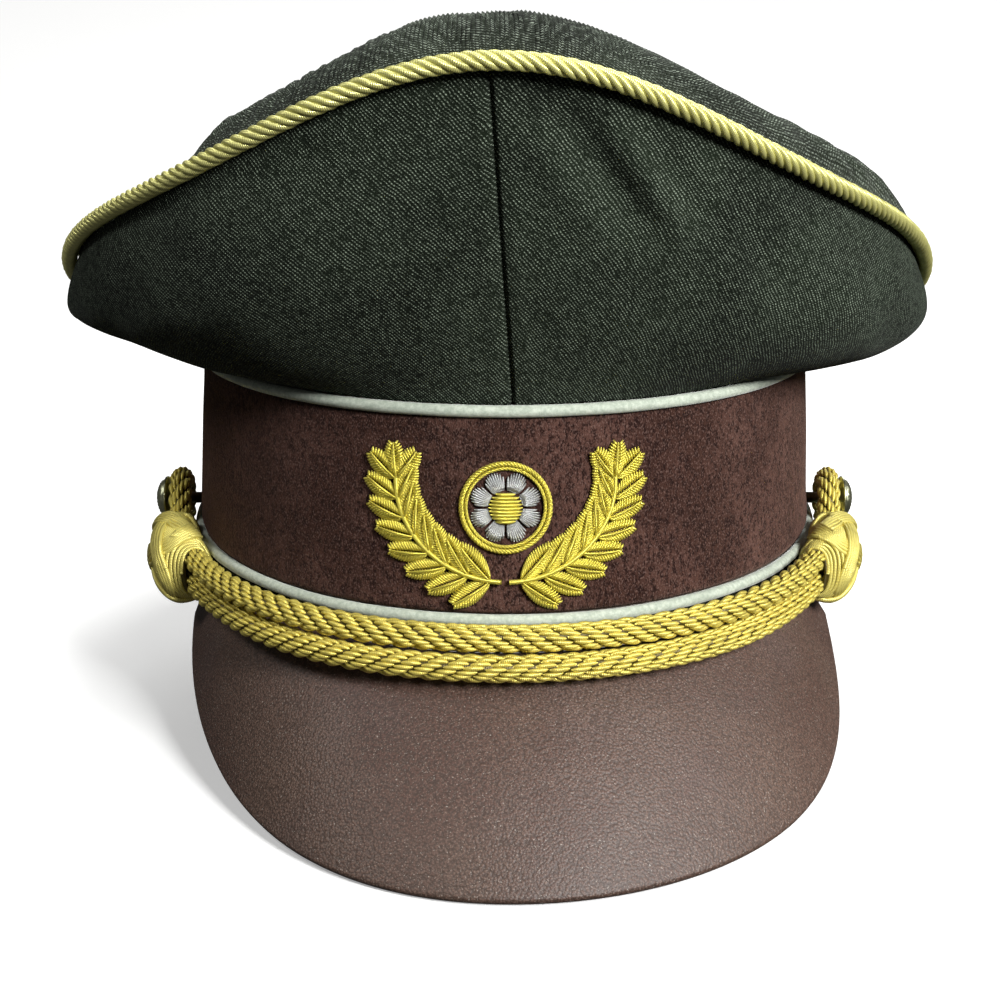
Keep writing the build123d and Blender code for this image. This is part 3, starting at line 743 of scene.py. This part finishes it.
# ---- band ----
def ring_surface(name, material, slot, node, low, high, inset, rows, thickness, waviness=0.0, rounding=0.6):
    """Upright cloth ring round the band, with softly turned edges."""
    columns = 480
    angle, z = lattice(turns(columns), np.linspace(low, high, rows))
    points = band_point(angle, z, inset)
    outward = unit(points * [1, 1, 0])
    edge = np.minimum(z - low, high - z)
    turned = rounding * np.exp(-edge / 0.6)
    wave = waviness * smooth_noise(points, 45, 31, 2) * np.minimum(edge / 6, 1)
    points = points + outward * (wave - turned)[..., None]
    around = np.concatenate([angle, angle[:1] + TAU]) * 97
    mesh = Mesh()
    mesh.grid(points, weave_grid(around, looped(z)), (True, False))
    return mesh.object(name, material, slot=slot, replaces=[node], thickness=thickness)


def piping(name, z, node):
    """Felt-covered piping, a little uneven."""
    angle = turns(1200)
    centres = band_point(angle, z, -0.2)
    centres[:, 2] += 0.18 * smooth_noise(centres, 60, 41, 2)
    radial = unit(centres * [1, 1, 0])
    swell = 1.45 + 0.05 * smooth_noise(centres, 9, 42, 2)
    mesh = Mesh()
    mesh.tube(centres, radial, (swell, swell), 14, wrap=True)
    mesh.object(name, PIPING_FELT, slot="white_piping", replaces=[node])


def sweatband():
    """Leather sweatband with a rolled upper edge, sewn along the band's bottom."""
    columns = 420
    profile = np.array([
        (2.6, -0.75), (4.2, -0.8), (5.4, -0.7), (6.0, 0.1), (6.05, 6), (6.0, 16), (6.0, 28), (6.1, 36.5),
        (6.0, 37.8), (5.6, 38.0), (5.2, 37.6), (5.1, 30), (5.1, 15), (5.1, 1), (4.6, 0.1), (2.6, -0.1),
    ])
    angle = turns(columns)
    points = np.stack([band_point(angle, z, inset) for inset, z in profile], 1)
    creases = smooth_noise(points, 16, 51, 2) * 0.12 * np.clip(points[..., 2] / 10, 0, 1)
    points = points - unit(points * [1, 1, 0]) * creases[..., None]
    around = np.repeat((np.arange(columns + 1) * TAU / columns * 95)[:, None], len(profile) + 1, 1)
    up = np.repeat(np.linspace(0, 80, len(profile) + 1)[None], columns + 1, 0)
    mesh = Mesh()
    mesh.grid(points, weave_grid(around, up), (True, True))
    mesh.object("sweatband_leather", SWEAT_LEATHER, slot="sweat_leather", replaces=["sweatband"])


def stitches(name, points, outward, length, radius, material, slot):
    """Short raised stitches end to end along a closed line."""
    line, total = even_steps(points, 0.25)
    count = int(total / length)
    per = len(line) / count
    mesh = Mesh()
    shape = np.linspace(0, 1, 7)
    for k in range(count):
        at = (k * per + shape * per * 0.8) % len(line)
        index = at.astype(int) % len(line)
        arch = np.sin(math.pi * shape) * radius * 0.9
        centres = line[index] + outward * arch[:, None]
        size = radius * (0.45 + 0.55 * np.sin(math.pi * shape) ** 0.4)
        mesh.tube(centres, np.repeat(np.array([outward]), len(shape), 0), (size, size), 6)
    mesh.object(name, material, slot=slot)


def lining():
    """Satin lining: a shallow dome with loose creases."""
    rows = np.concatenate([1 - np.linspace(0, 0.5, 20), np.linspace(0.5, 0.02, 18)[1:]])
    columns = 360
    angle, radius = lattice(turns(columns), rows)
    half_width, half_length = band_axes(55.0, 4.2)
    x, y = half_width * radius * np.sin(angle), -half_length * radius * np.cos(angle)
    z = 55.4 + 24.0 * (1 - radius**2.6)
    creases = smooth_noise(np.stack([x, y, 0 * x], -1), 26, 61, 3) * 0.35
    gathers = 0.3 * np.sin(angle * 90) * np.exp(-(1 - radius) / 0.06)
    points = np.stack([x, y, z - 0.35 + creases * np.sin(math.pi * radius.clip(0, 1)) + gathers * 0.5], -1)
    wide = looped(points)
    mesh = Mesh()
    mesh.grid(points, weave_grid(wide[..., 0], wide[..., 1]), (True, False))
    mesh.close_middle(points, wide, lambda laid: weave_grid(laid[..., 0], laid[..., 1]))
    dome = mesh.object("lining_dome", SATIN, slot="lining", replaces=["crown_lining"], thickness=0.3)


# ---- visor ----
def visor_surface(u, v):
    """Visor's top face: u goes round from one end to the other, v from the band out to the rim."""
    turn = math.pi / 2 - math.pi * u
    end_angle = math.acos(-VISOR_END_Y / BAND_HALF_LENGTH)
    root = band_point(end_angle * (1 - 2 * u), np.full_like(u, VISOR_ROOT_Z), VISOR_ROOT_INSET)
    forward = np.cos(turn)
    edge = np.stack([
        VISOR_HALF_WIDTH * np.sin(turn),
        VISOR_END_Y + (VISOR_TIP_Y - VISOR_END_Y) * forward,
        VISOR_END_Z + (VISOR_TIP_Z - VISOR_END_Z) * (1 - np.abs(1 - forward) ** VISOR_DROP_POWER),
    ], -1)
    edge[..., 0] += VISOR_SHIFT[0] + VISOR_SHIFT[1] * np.sin(math.pi * forward.clip(0, 1) ** 1.3)
    points = root + (edge - root) * v[..., None]
    points[..., 2] += VISOR_BULGE * 4 * v * (1 - v) * forward
    return points


def visor_sheet(name, depth, rows, material, slot, node, rim):
    """One face of the visor, turned over its outer rim when rim is true."""
    columns = 320
    u, v = lattice(np.linspace(0, 1, columns), np.linspace(0, 1, rows))
    surface = visor_surface(u, v)
    normal = grid_normals(surface)
    points = surface - normal * depth
    across = arc_lengths(surface, 1)
    around = np.repeat(arc_lengths(surface, 0)[:, rows * 3 // 4, None], rows, 1)
    if rim:
        edge, out = surface[:, -1], unit(surface[:, -1] - surface[:, -2])
        down = -normal[:, -1]
        half = VISOR_THICKNESS / 2
        turned = [
            edge + down * half * (1 - math.cos(t)) + out * half * math.sin(t) * 0.75
            for t in np.linspace(0, math.pi, 9)[1:]
        ]
        lip = edge + down * VISOR_THICKNESS - out * 1.2
        points = np.concatenate([points, np.stack([*turned, lip], 1)], 1)
        extra = points.shape[1] - rows
        around = np.concatenate([around, np.repeat(around[:, -1:], extra, 1)], 1)
        beyond = across[:, -1:] + np.arange(1, extra + 1)[None] * 0.5
        across = np.concatenate([across, beyond], 1)
    wave = smooth_noise(points, 60, 71, 2) * 0.35
    points = points - np.array([0, 0, 1.0]) * np.abs(wave)[..., None] * 0.3
    mesh = Mesh()
    mesh.grid(points, weave_grid(around, across))
    mesh.object(name, material, slot=slot, replaces=[node], thickness=0.6)


def visor_core():
    """Stiff board inside the visor, seen only at its cut edges."""
    u, v = lattice(np.linspace(0.004, 0.996, 160), np.linspace(0.02, 0.985, 24))
    surface = visor_surface(u, v)
    points = surface - grid_normals(surface) * 0.75
    mesh = Mesh()
    mesh.grid(points, weave_grid(arc_lengths(points, 0), arc_lengths(points, 1)))
    mesh.object("visor_core", BOARD, slot="board", replaces=["visor_board"], thickness=1.2)


# ---- chin cord ----
def on_cord_plane(x, y, height):
    """Point height mm above the sloping plane that the chin cord lies in."""
    z = CORD_PLANE_Z + y * SLOPE_SIN + height * SLOPE_COS
    return np.stack(np.broadcast_arrays(x, y * SLOPE_COS - height * SLOPE_SIN, z), -1)


def arc(centre, radius, start, end, count):
    turn = np.linspace(start, end, count)
    return np.stack([centre[0] + radius * np.cos(turn), centre[1] + radius * np.sin(turn)], 1)


def strand_line(name, height):
    """One strand round the front, from the wearer's right to the left."""
    reach, side_radius, side_x = CORD_REACH[name], CORD_SIDE_RADIUS, CORD_SIDE_CENTRE_X
    radius = (side_radius**2 - side_x**2 - reach**2) / (2 * (side_radius - reach))
    centre = radius - reach
    junction = math.atan2(side_x, -centre)
    flat = np.concatenate([
        arc((side_x, 0), side_radius, math.pi + CORD_END_ANGLE, 1.5 * math.pi - junction, 40),
        arc((0, centre), radius, 1.5 * math.pi - junction, 1.5 * math.pi + junction, 160)[1:],
        arc((-side_x, 0), side_radius, junction - math.pi / 2, -CORD_END_ANGLE, 40)[1:],
    ])
    return on_cord_plane(flat[:, 0], flat[:, 1], height)


def bezier(points, count):
    t = np.linspace(0, 1, count)[:, None]
    a, b, c, d = (np.array(p, float) for p in points)
    return a * (1 - t) ** 3 + b * 3 * (1 - t) ** 2 * t + c * 3 * (1 - t) * t**2 + d * t**3


def loop_line(sign):
    """The cord's turn round a button, from the upper strand to the lower one."""
    half = CORD_SPACING / 2
    button_y = BUTTON_Y * SLOPE_COS + (BUTTON_Z - CORD_PLANE_Z) * SLOPE_SIN
    button_h = (BUTTON_Z - CORD_PLANE_Z) * SLOPE_COS - BUTTON_Y * SLOPE_SIN
    middle = CORD_SIDE_RADIUS * (math.asin(button_y / CORD_SIDE_RADIUS) + CORD_END_ANGLE)
    top, bottom = (middle, button_h + LOOP_RADIUS), (middle, button_h - LOOP_RADIUS)
    outline = np.concatenate([
        bezier([(0, half), (6, half), (8.5, top[1]), top], 24),
        arc((middle, button_h), LOOP_RADIUS, math.pi / 2, -math.pi / 2, 40)[1:],
        bezier([bottom, (9.5, bottom[1]), (6, -half), (0, -half)], 24)[1:],
    ])
    turn = outline[:, 0] / CORD_SIDE_RADIUS - CORD_END_ANGLE
    x = CORD_SIDE_RADIUS * np.cos(turn) - CORD_SIDE_CENTRE_X
    return on_cord_plane(sign * x, CORD_SIDE_RADIUS * np.sin(turn), outline[:, 1])


def chin_cord():
    """One closed loop of braided cord: rows of short floats, eight leaning one way and seven the other."""
    half = CORD_SPACING / 2
    lower = strand_line("lower", -half)
    lower += np.array([0, 0.6, 0.45]) * (0.5 - 0.5 * np.cos(np.linspace(0, TAU, len(lower))))[:, None]
    upper, right_loop = strand_line("upper", half), loop_line(-1)[::-1]
    line = np.concatenate([upper, loop_line(1)[1:-1], lower[::-1], right_loop[1:-1]])
    line, length = even_steps(line, 0.6)
    ahead = direction(line)
    outwards = unit(line * [1, 1, 0])
    side = unit(outwards - ahead * (outwards * ahead).sum(1, keepdims=True))
    up = np.cross(ahead, side)
    mesh = Mesh()
    # The core under the floats is painted dark, as shade in the gaps between them.
    mesh.tube(line, up, (2.4, 2.4), 16, wrap=True, tone=-1.0)
    rows, pitch, float_length = 15, length / round(length / 4.8), 4.7
    along = np.linspace(-0.5, 0.5, 8)
    marks = np.arange(len(line) + 1) / len(line) * length
    fields = [looped(field) for field in (line, side, up)]
    for row in range(rows):
        half_round, place = divmod(row, (rows + 1) // 2)
        way = 1 if half_round else -1
        shift = 0.31 * way * place + 0.4 * half_round
        for k in range(int(round(length / pitch))):
            at = (k + shift) * pitch + RNG.normal(0, 0.1) + along * float_length
            at_mark = at % length
            centre, out, high = (
                np.stack([np.interp(at_mark, marks, part) for part in field.T], 1) for field in fields
            )
            twist = TAU * at / length
            turn = TAU * (row + RNG.normal(0, 0.05)) / rows + twist + way * along * 0.16
            radial = out * np.cos(turn)[:, None] + high * np.sin(turn)[:, None]
            hump = np.cos(math.pi * along)
            centres = centre + radial * (2.15 + 0.62 * hump**0.6)[:, None]
            size = 0.3 + 0.7 * hump**0.6
            mesh.tube(centres, radial, (0.6 * size, 0.62 * size), 6, tone=RNG.random())
    nodes = ["chin_cord_upper", "chin_cord_lower", "chin_cord_loop_left", "chin_cord_loop_right"]
    mesh.object("chin_cord_braid", CHIN_GOLD, "chin_cord", "gold_cord", nodes)


def knot_surface(sign, along, turn, shrink=0.0):
    """Point on a sliding knot's barrel: along is mm from its middle, turn goes round it."""
    taper = 1 - np.abs(np.clip((along + 1.5) / (KNOT_REACH + 3), -1, 1)) ** 2.2
    taper = taper * (1 - ease(np.abs(along), KNOT_REACH - 6, KNOT_REACH + 1.5))
    half_width = 4.1 + 2.9 * taper - shrink
    half_height = 7.1 + 2.5 * taper - shrink
    power = 2 / 2.4
    cosine, sine = np.cos(turn), np.sin(turn)
    out = 2.4 * taper + 0.15 + half_width * np.sign(cosine) * np.abs(cosine) ** power
    up = half_height * np.sign(sine) * np.abs(sine) ** power
    angle = -(KNOT_MIDDLE_ANGLE - along / CORD_SIDE_RADIUS)
    radius = CORD_SIDE_RADIUS + out
    x = radius * np.cos(angle) - CORD_SIDE_CENTRE_X
    return on_cord_plane(sign * x, radius * np.sin(angle), up)


def knot(side, sign):
    """Sliding knot: a band of six thin cords, woven over and under itself round a wound core."""
    leads, bights, strands, width = 3, 4, 6, 1.0
    t = turns(1100)
    swing = KNOT_REACH - 3.2
    along, turn = swing * np.cos(bights * t) - 0.4, leads * t + 0.5
    over = np.sin(2 * bights * t)
    mesh = Mesh()
    step = 1e-3
    ring = (knot_surface(sign, along, turn + step) - knot_surface(sign, along, turn - step)) / (2 * step)
    scale = np.linalg.norm(ring, axis=1)
    d_along, d_turn = -swing * bights * np.sin(bights * t), leads * scale
    norm = np.hypot(d_along, d_turn)
    for k in range(strands):
        spread = k - (strands - 1) / 2
        offset = spread * width
        a = along - offset * d_turn / norm
        b = turn + offset * d_along / norm / scale
        a = (KNOT_REACH - 0.4) * np.tanh(a / (KNOT_REACH - 0.4) * 1.12)
        centre = knot_surface(sign, a, b)
        outward = unit(centre - knot_surface(sign, a, b, 1.0))
        domed = 0.3 * math.cos(math.pi * spread / strands)
        centre = centre + outward * (0.5 * over - 0.25 + domed)[:, None]
        mesh.tube(centre, outward, (0.58, 0.44), 8, wrap=True, tone=k / strands)
    length = 2 * (KNOT_REACH - 0.5)
    windings = round(length / 0.98)
    share = np.linspace(0, 1, windings * 48)
    a, b = length * (share - 0.5), windings * TAU * share
    centre = knot_surface(sign, a, b, 0.8)
    outward = unit(centre - knot_surface(sign, a, b, 1.8))
    mesh.tube(centre, outward, (0.52, 0.46), 8, tone=0.3)
    # Wall of the core under the cords, painted dark as shade in the gaps between them.
    a = np.linspace(-KNOT_REACH, KNOT_REACH, 60)
    wall = np.concatenate([a, a[::-1]])
    depth = np.repeat([0.95, 1.5], len(a))
    grid_a, grid_b = lattice(wall, turns(56))
    core = knot_surface(sign, grid_a, grid_b, depth[:, None])
    u, v = lattice(np.append(wall, wall[0]), np.arange(57) * TAU / 7)
    mesh.grid(core, weave_grid(v, u, -1.0), (True, True), flip=sign < 0)
    replaced = [f"chin_cord_knot_{side}"]
    mesh.object(f"knot_weave_{side}", KNOT_GOLD, f"knot_{side}", "gold_cord", replaced)


# ---- side buttons ----
def side_button(side, sign):
    """Domed button with a pebbled face inside a plain rim, on its shank."""
    x0 = BUTTON_RIM_X
    shank_x, shank_radius = 82.8, 1.6
    profile = np.array([
        (shank_x, 0.01), (shank_x, shank_radius), (x0 - 0.2, shank_radius), (x0, 5.7), (x0 + 0.15, 6.1),
        (x0 + 0.45, 6.2), (x0 + 0.8, 6.05), (x0 + 0.95, 5.7), (x0 + 0.9, 5.4),
    ])
    dome = [(x0 + 0.8 + 2.4 * math.cos(t), 5.35 * math.sin(t)) for t in np.linspace(math.pi / 2, 0.02, 26)]
    profile = np.concatenate([profile, dome])
    turn = turns(72)
    x = np.repeat(profile[None, :, 0], 72, 0)
    y = profile[None, :, 1] * np.cos(turn)[:, None]
    z = profile[None, :, 1] * np.sin(turn)[:, None]
    seeds = np.arange(110)
    seed_r = 5.2 * np.sqrt((seeds + 0.5) / 110)
    golden_angle = 2.39996
    seed_y, seed_z = seed_r * np.cos(seeds * golden_angle), seed_r * np.sin(seeds * golden_angle)
    away = np.sqrt((y[..., None] - seed_y) ** 2 + (z[..., None] - seed_z) ** 2).min(-1)
    on_dome = np.arange(len(profile))[None] >= 10
    pebbles = np.where(on_dome, 0.28 * (1 - (away / 0.42) ** 2).clip(0, 1), 0)
    points = np.stack([sign * (x + pebbles), BUTTON_Y + y, BUTTON_Z + z], -1)
    wide = looped(points)
    mesh = Mesh()
    mesh.grid(points, weave_grid(wide[..., 1], wide[..., 2]), (True, False), flip=sign > 0)
    name = f"side_button_{side}"
    mesh.object(f"button_{side}", BUTTON_METAL, slot="button_metal", replaces=[name])


# ---- badge ----
def on_band_front(x, z, height):
    """Point above the band's front face, from a flat drawing in x and z."""
    half_width, half_length = band_axes(z, -height)
    y = -half_length * np.sqrt(np.maximum(1 - (x / half_width) ** 2, 0))
    return np.stack(np.broadcast_arrays(x, y, z), -1)


def bullion(mesh, start, end, radius, arch, base=0.2, sides=6):
    """One short length of bullion wire laid from start to end over padding, in the flat drawing."""
    share = np.linspace(0, 1, 9)
    start, end = np.array(start, float), np.array(end, float)
    flat = start + (end - start) * share[:, None]
    hump = np.sin(math.pi * share) ** 0.6
    centres = on_band_front(flat[:, 0], flat[:, 1], base + radius + arch * hump)
    out = unit(centres * [1, 1, 0])
    size = radius * (0.35 + 0.65 * np.sin(math.pi * share) ** 0.35)
    mesh.tube(centres, out, (size, size), sides)


def leaf(mesh, base, heading, length, half_width, radius=0.34):
    """Leaf of slanting bullion either side of a midrib."""
    along = np.array([math.cos(heading), math.sin(heading)])
    across = np.array([-along[1], along[0]])
    count = int(length / 0.74)
    for k in range(count):
        share = (k + 0.5) / count
        rib = np.array(base) + along * length * share * 0.86
        width = half_width * math.sin(math.pi * (0.12 + 0.8 * share)) ** 0.75
        for way in (1, -1):
            start = rib + across * way * 0.15
            end = rib + across * way * width + along * (0.16 * length * (1 - 0.4 * share))
            bullion(mesh, start, end, radius, 0.75)
    bullion(mesh, base, np.array(base) + along * length * 0.9, radius * 0.9, 1.3, 0.9)


def spray_stem(turn):
    """Place on a spray's curved stem in the flat drawing, at turn round from straight below the boss."""
    return np.stack([25.5 * np.sin(turn), 40.0 - 22.5 * np.cos(turn)], -1)


def badge_spray(side, sign):
    """Branch of laurel that sweeps from under the boss out to the side."""
    mesh = Mesh()
    for k, turn in enumerate(np.radians(np.linspace(8, 92, 8))):
        for lean in (0.72, -0.72):
            leaf(mesh, spray_stem(turn), turn * 0.92 + lean, 11.8 - 0.35 * k, 2.6)
    leaf(mesh, spray_stem(math.radians(92)), 1.5, 9.5, 2.4)
    flat = spray_stem(np.linspace(math.radians(2), math.radians(95), 60))
    centres = on_band_front(flat[:, 0], flat[:, 1], 1.3)
    mesh.tube(centres, unit(centres * [1, 1, 0]), (0.6, 0.6), 8)
    if sign < 0:
        mesh.points = [points * [-1, 1, 1] for points in mesh.points]
        mesh.faces = [faces[:, ::-1] for faces in mesh.faces]
        mesh.weave = [w.reshape(-1, 4, 3)[:, ::-1].reshape(-1, 3) for w in mesh.weave]
    name = f"badge_spray_{side}"
    mesh.object(f"badge_laurel_{side}", BULLION, slot="gold_bullion", replaces=[name])


def badge_boss():
    """Plain rosette: a roped rim, eight rounded petals of bullion and a domed centre."""
    rim, petals, centre = Mesh(), Mesh(), Mesh()
    for radius, strand in ((10.3, 0.5), (9.2, 0.34)):
        turn = turns(360)
        for k in range(3):
            twist = turn * round(radius * 2.4) + TAU * k / 3
            r = radius + 0.7 * strand * np.cos(twist)
            height = 0.8 + 0.7 * strand * np.sin(twist)
            centres = on_band_front(r * np.sin(turn), BADGE_Z + r * np.cos(turn), height)
            rim.tube(centres, unit(centres * [1, 1, 0]), (strand * 0.64, strand * 0.64), 6, wrap=True)
    for petal in range(8):
        heading = TAU * (petal + 0.5) / 8
        along = np.array([math.sin(heading), math.cos(heading)])
        across = np.array([along[1], -along[0]])
        for k in range(-4, 5):
            share = k / 4.6
            outer = 5.4 + 3.1 * math.sqrt(1 - share**2)
            start = along * 3.9 + across * share * 1.3
            end = along * outer + across * share * 3.0 * (1 - 0.18 * abs(share))
            origin = np.array([0, BADGE_Z])
            bullion(petals, origin + start, origin + end, 0.29, 0.75 - 0.35 * share**2, 0.15)
    for k in range(9):
        z = -3.6 + 7.2 * (k + 0.5) / 9
        half = math.sqrt(max(3.9**2 - z**2, 0.2))
        bullion(centre, (-half, BADGE_Z + z), (half, BADGE_Z + z), 0.46, 1.1 * half / 3.9, 0.35)
    rim.object("badge_rim", BULLION, slot="gold_bullion", replaces=["badge_boss_rim"])
    petals.object("badge_petals", SILVER_BULLION, slot="gold_bullion", replaces=["badge_boss_field"])
    centre.object("badge_centre", BULLION, slot="gold_bullion", replaces=["badge_boss_centre"])


# ---- everything ----
def build_cap():
    """Every piece of the cap, in the order that the random draws need."""
    for name, start, end in (
        ("crown_quarter_front_left", 0, 90),
        ("crown_quarter_rear_left", 90, 180),
        ("crown_quarter_rear_right", 180, 270),
        ("crown_quarter_front_right", 270, 360),
    ):
        crown_quarter(name, start, end)
    crown_top()
    edge_cord()
    spring_wire()
    ring_surface("velvet_band", VELVET, "band_velvet", "cap_band_velvet", 9.5, 55.8, -0.05, 60, 1.0, 0.45)
    ring_surface(
        "base_strip", STRIP_CLOTH, "top_cloth", "band_base_strip", 0.0, 6.4, 0.0, 12, 1.0, 0.1, 0.3
    )
    piping("piping_lower", 8.0, "band_piping_lower")
    piping("piping_upper", 57.2, "band_piping_upper")
    sweatband()
    foot = band_point(turns(1200), -0.85, 3.4)
    stitches("sweatband_stitches", foot, np.array([0, 0, -1.0]), 3.0, 0.28, THREAD, "sweat_leather")
    lining()
    strip = ring_surface(
        "lining_strip", SATIN, "lining", "lining_side_strip", 22.0, 55.0, 4.3, 20, 0.3, 0.0, 0.1
    )
    visor_sheet("visor_top", 0.0, 110, LEATHER, "visor_leather", "visor_top_leather", True)
    visor_core()
    visor_sheet("visor_under", 2.1, 60, UNDER_LEATHER, "visor_lining_leather", "visor_under_leather", False)
    for side, sign in (("left", 1), ("right", -1)):
        side_button(side, sign)
        knot(side, sign)
        badge_spray(side, sign)
    chin_cord()
    badge_boss()


def finish_cad_nodes():
    """Materials for the CAD nodes that stay."""
    for node, material in {
        "band_stiffener": BOARD, "crown_front_stay": BOARD,
        "button_washer_left": STEEL, "button_washer_right": STEEL,
        "lining_sweat_shield": FILM,
    }.items():
        piece = frame["nodes"][node]
        piece.data.materials.clear()
        piece.data.materials.append(material)


# ---- camera, floor and light ----
def studio():
    """Long lens from the front, white floor that curves up behind, and soft lamps."""
    scene = bpy.context.scene
    scene.view_settings.view_transform = "Standard"
    target, distance, elevation = np.array([-1.3, 0, 8.27]), 476.5, math.radians(15.4)
    back = np.array([0, -math.cos(elevation), math.sin(elevation)])
    data = bpy.data.cameras.new("camera")
    data.lens, data.sensor_width = 57.6, 36.0
    data.clip_start, data.clip_end = 0.01, 20.0
    camera = bpy.data.objects.new("camera", data)
    bpy.context.collection.objects.link(camera)
    camera.location = (target + back * distance) * MM
    camera.rotation_euler = (math.pi / 2 - elevation, 0, 0)
    scene.camera = camera

    low = CAD_BOX[0][2] - 0.0005
    radii = np.concatenate([[1e-5, 0.5, 1.0], 1.0 + 0.6 * np.sin(np.linspace(0.15, 1.5, 12))])
    heights = np.concatenate([[0, 0, 0], 0.6 * (1 - np.cos(np.linspace(0.15, 1.5, 12)))]) + low
    turn = turns(96)
    rings = [[r * np.cos(turn), r * np.sin(turn), np.full(96, z)] for r, z in zip(radii, heights)]
    sheet = Mesh()
    points = np.array(rings).transpose(0, 2, 1) / MM
    sheet.grid(points, np.zeros((len(radii), 97, 3)), (False, True))
    n = Nodes("floor_paint")
    speckle = n.noise(n.place(), 400.0, 2.0)
    colour = n.mix(speckle, (0.8, 0.8, 0.79), (0.84, 0.84, 0.83))
    paint = n.finish(colour, 0.9, Emission_Color=(1, 1, 1, 1), Emission_Strength=0.3)
    ground = sheet.object("floor", paint)
    del ground["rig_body"]
    ground.parent = None
    ground.visible_diffuse = ground.visible_glossy = False

    world = bpy.data.worlds.new("studio")
    world.use_nodes = True
    background = world.node_tree.nodes["Background"]
    background.inputs["Color"].default_value = (1, 1, 1, 1)
    background.inputs["Strength"].default_value = 0.06
    scene.world = world

    for name, place, size, power in (
        ("front", (0.56, -0.86, 0.57), 0.3, 18.0),
        ("side", (1.0, -0.35, 0.6), 0.4, 3.5),
        ("left", (-0.8, -0.4, 0.9), 0.3, 4.2),
        ("top", (0.1, 0.1, 1.1), 0.4, 9.0),
        ("rear", (0.2, 1.1, 0.9), 0.8, 10.0),
    ):
        data = bpy.data.lights.new(name, "AREA")
        data.size, data.energy = size, power
        lamp = bpy.data.objects.new(name, data)
        bpy.context.collection.objects.link(lamp)
        lamp.location = place
        aim = np.array([0, -0.02, 0.04]) - np.array(place)
        lamp.rotation_euler = direction_to_euler(aim)


def direction_to_euler(aim):
    flat = math.hypot(aim[0], aim[1])
    return (math.atan2(flat, -aim[2]), 0, math.atan2(-aim[0], aim[1]))


build_cap()
finish_cad_nodes()
studio()
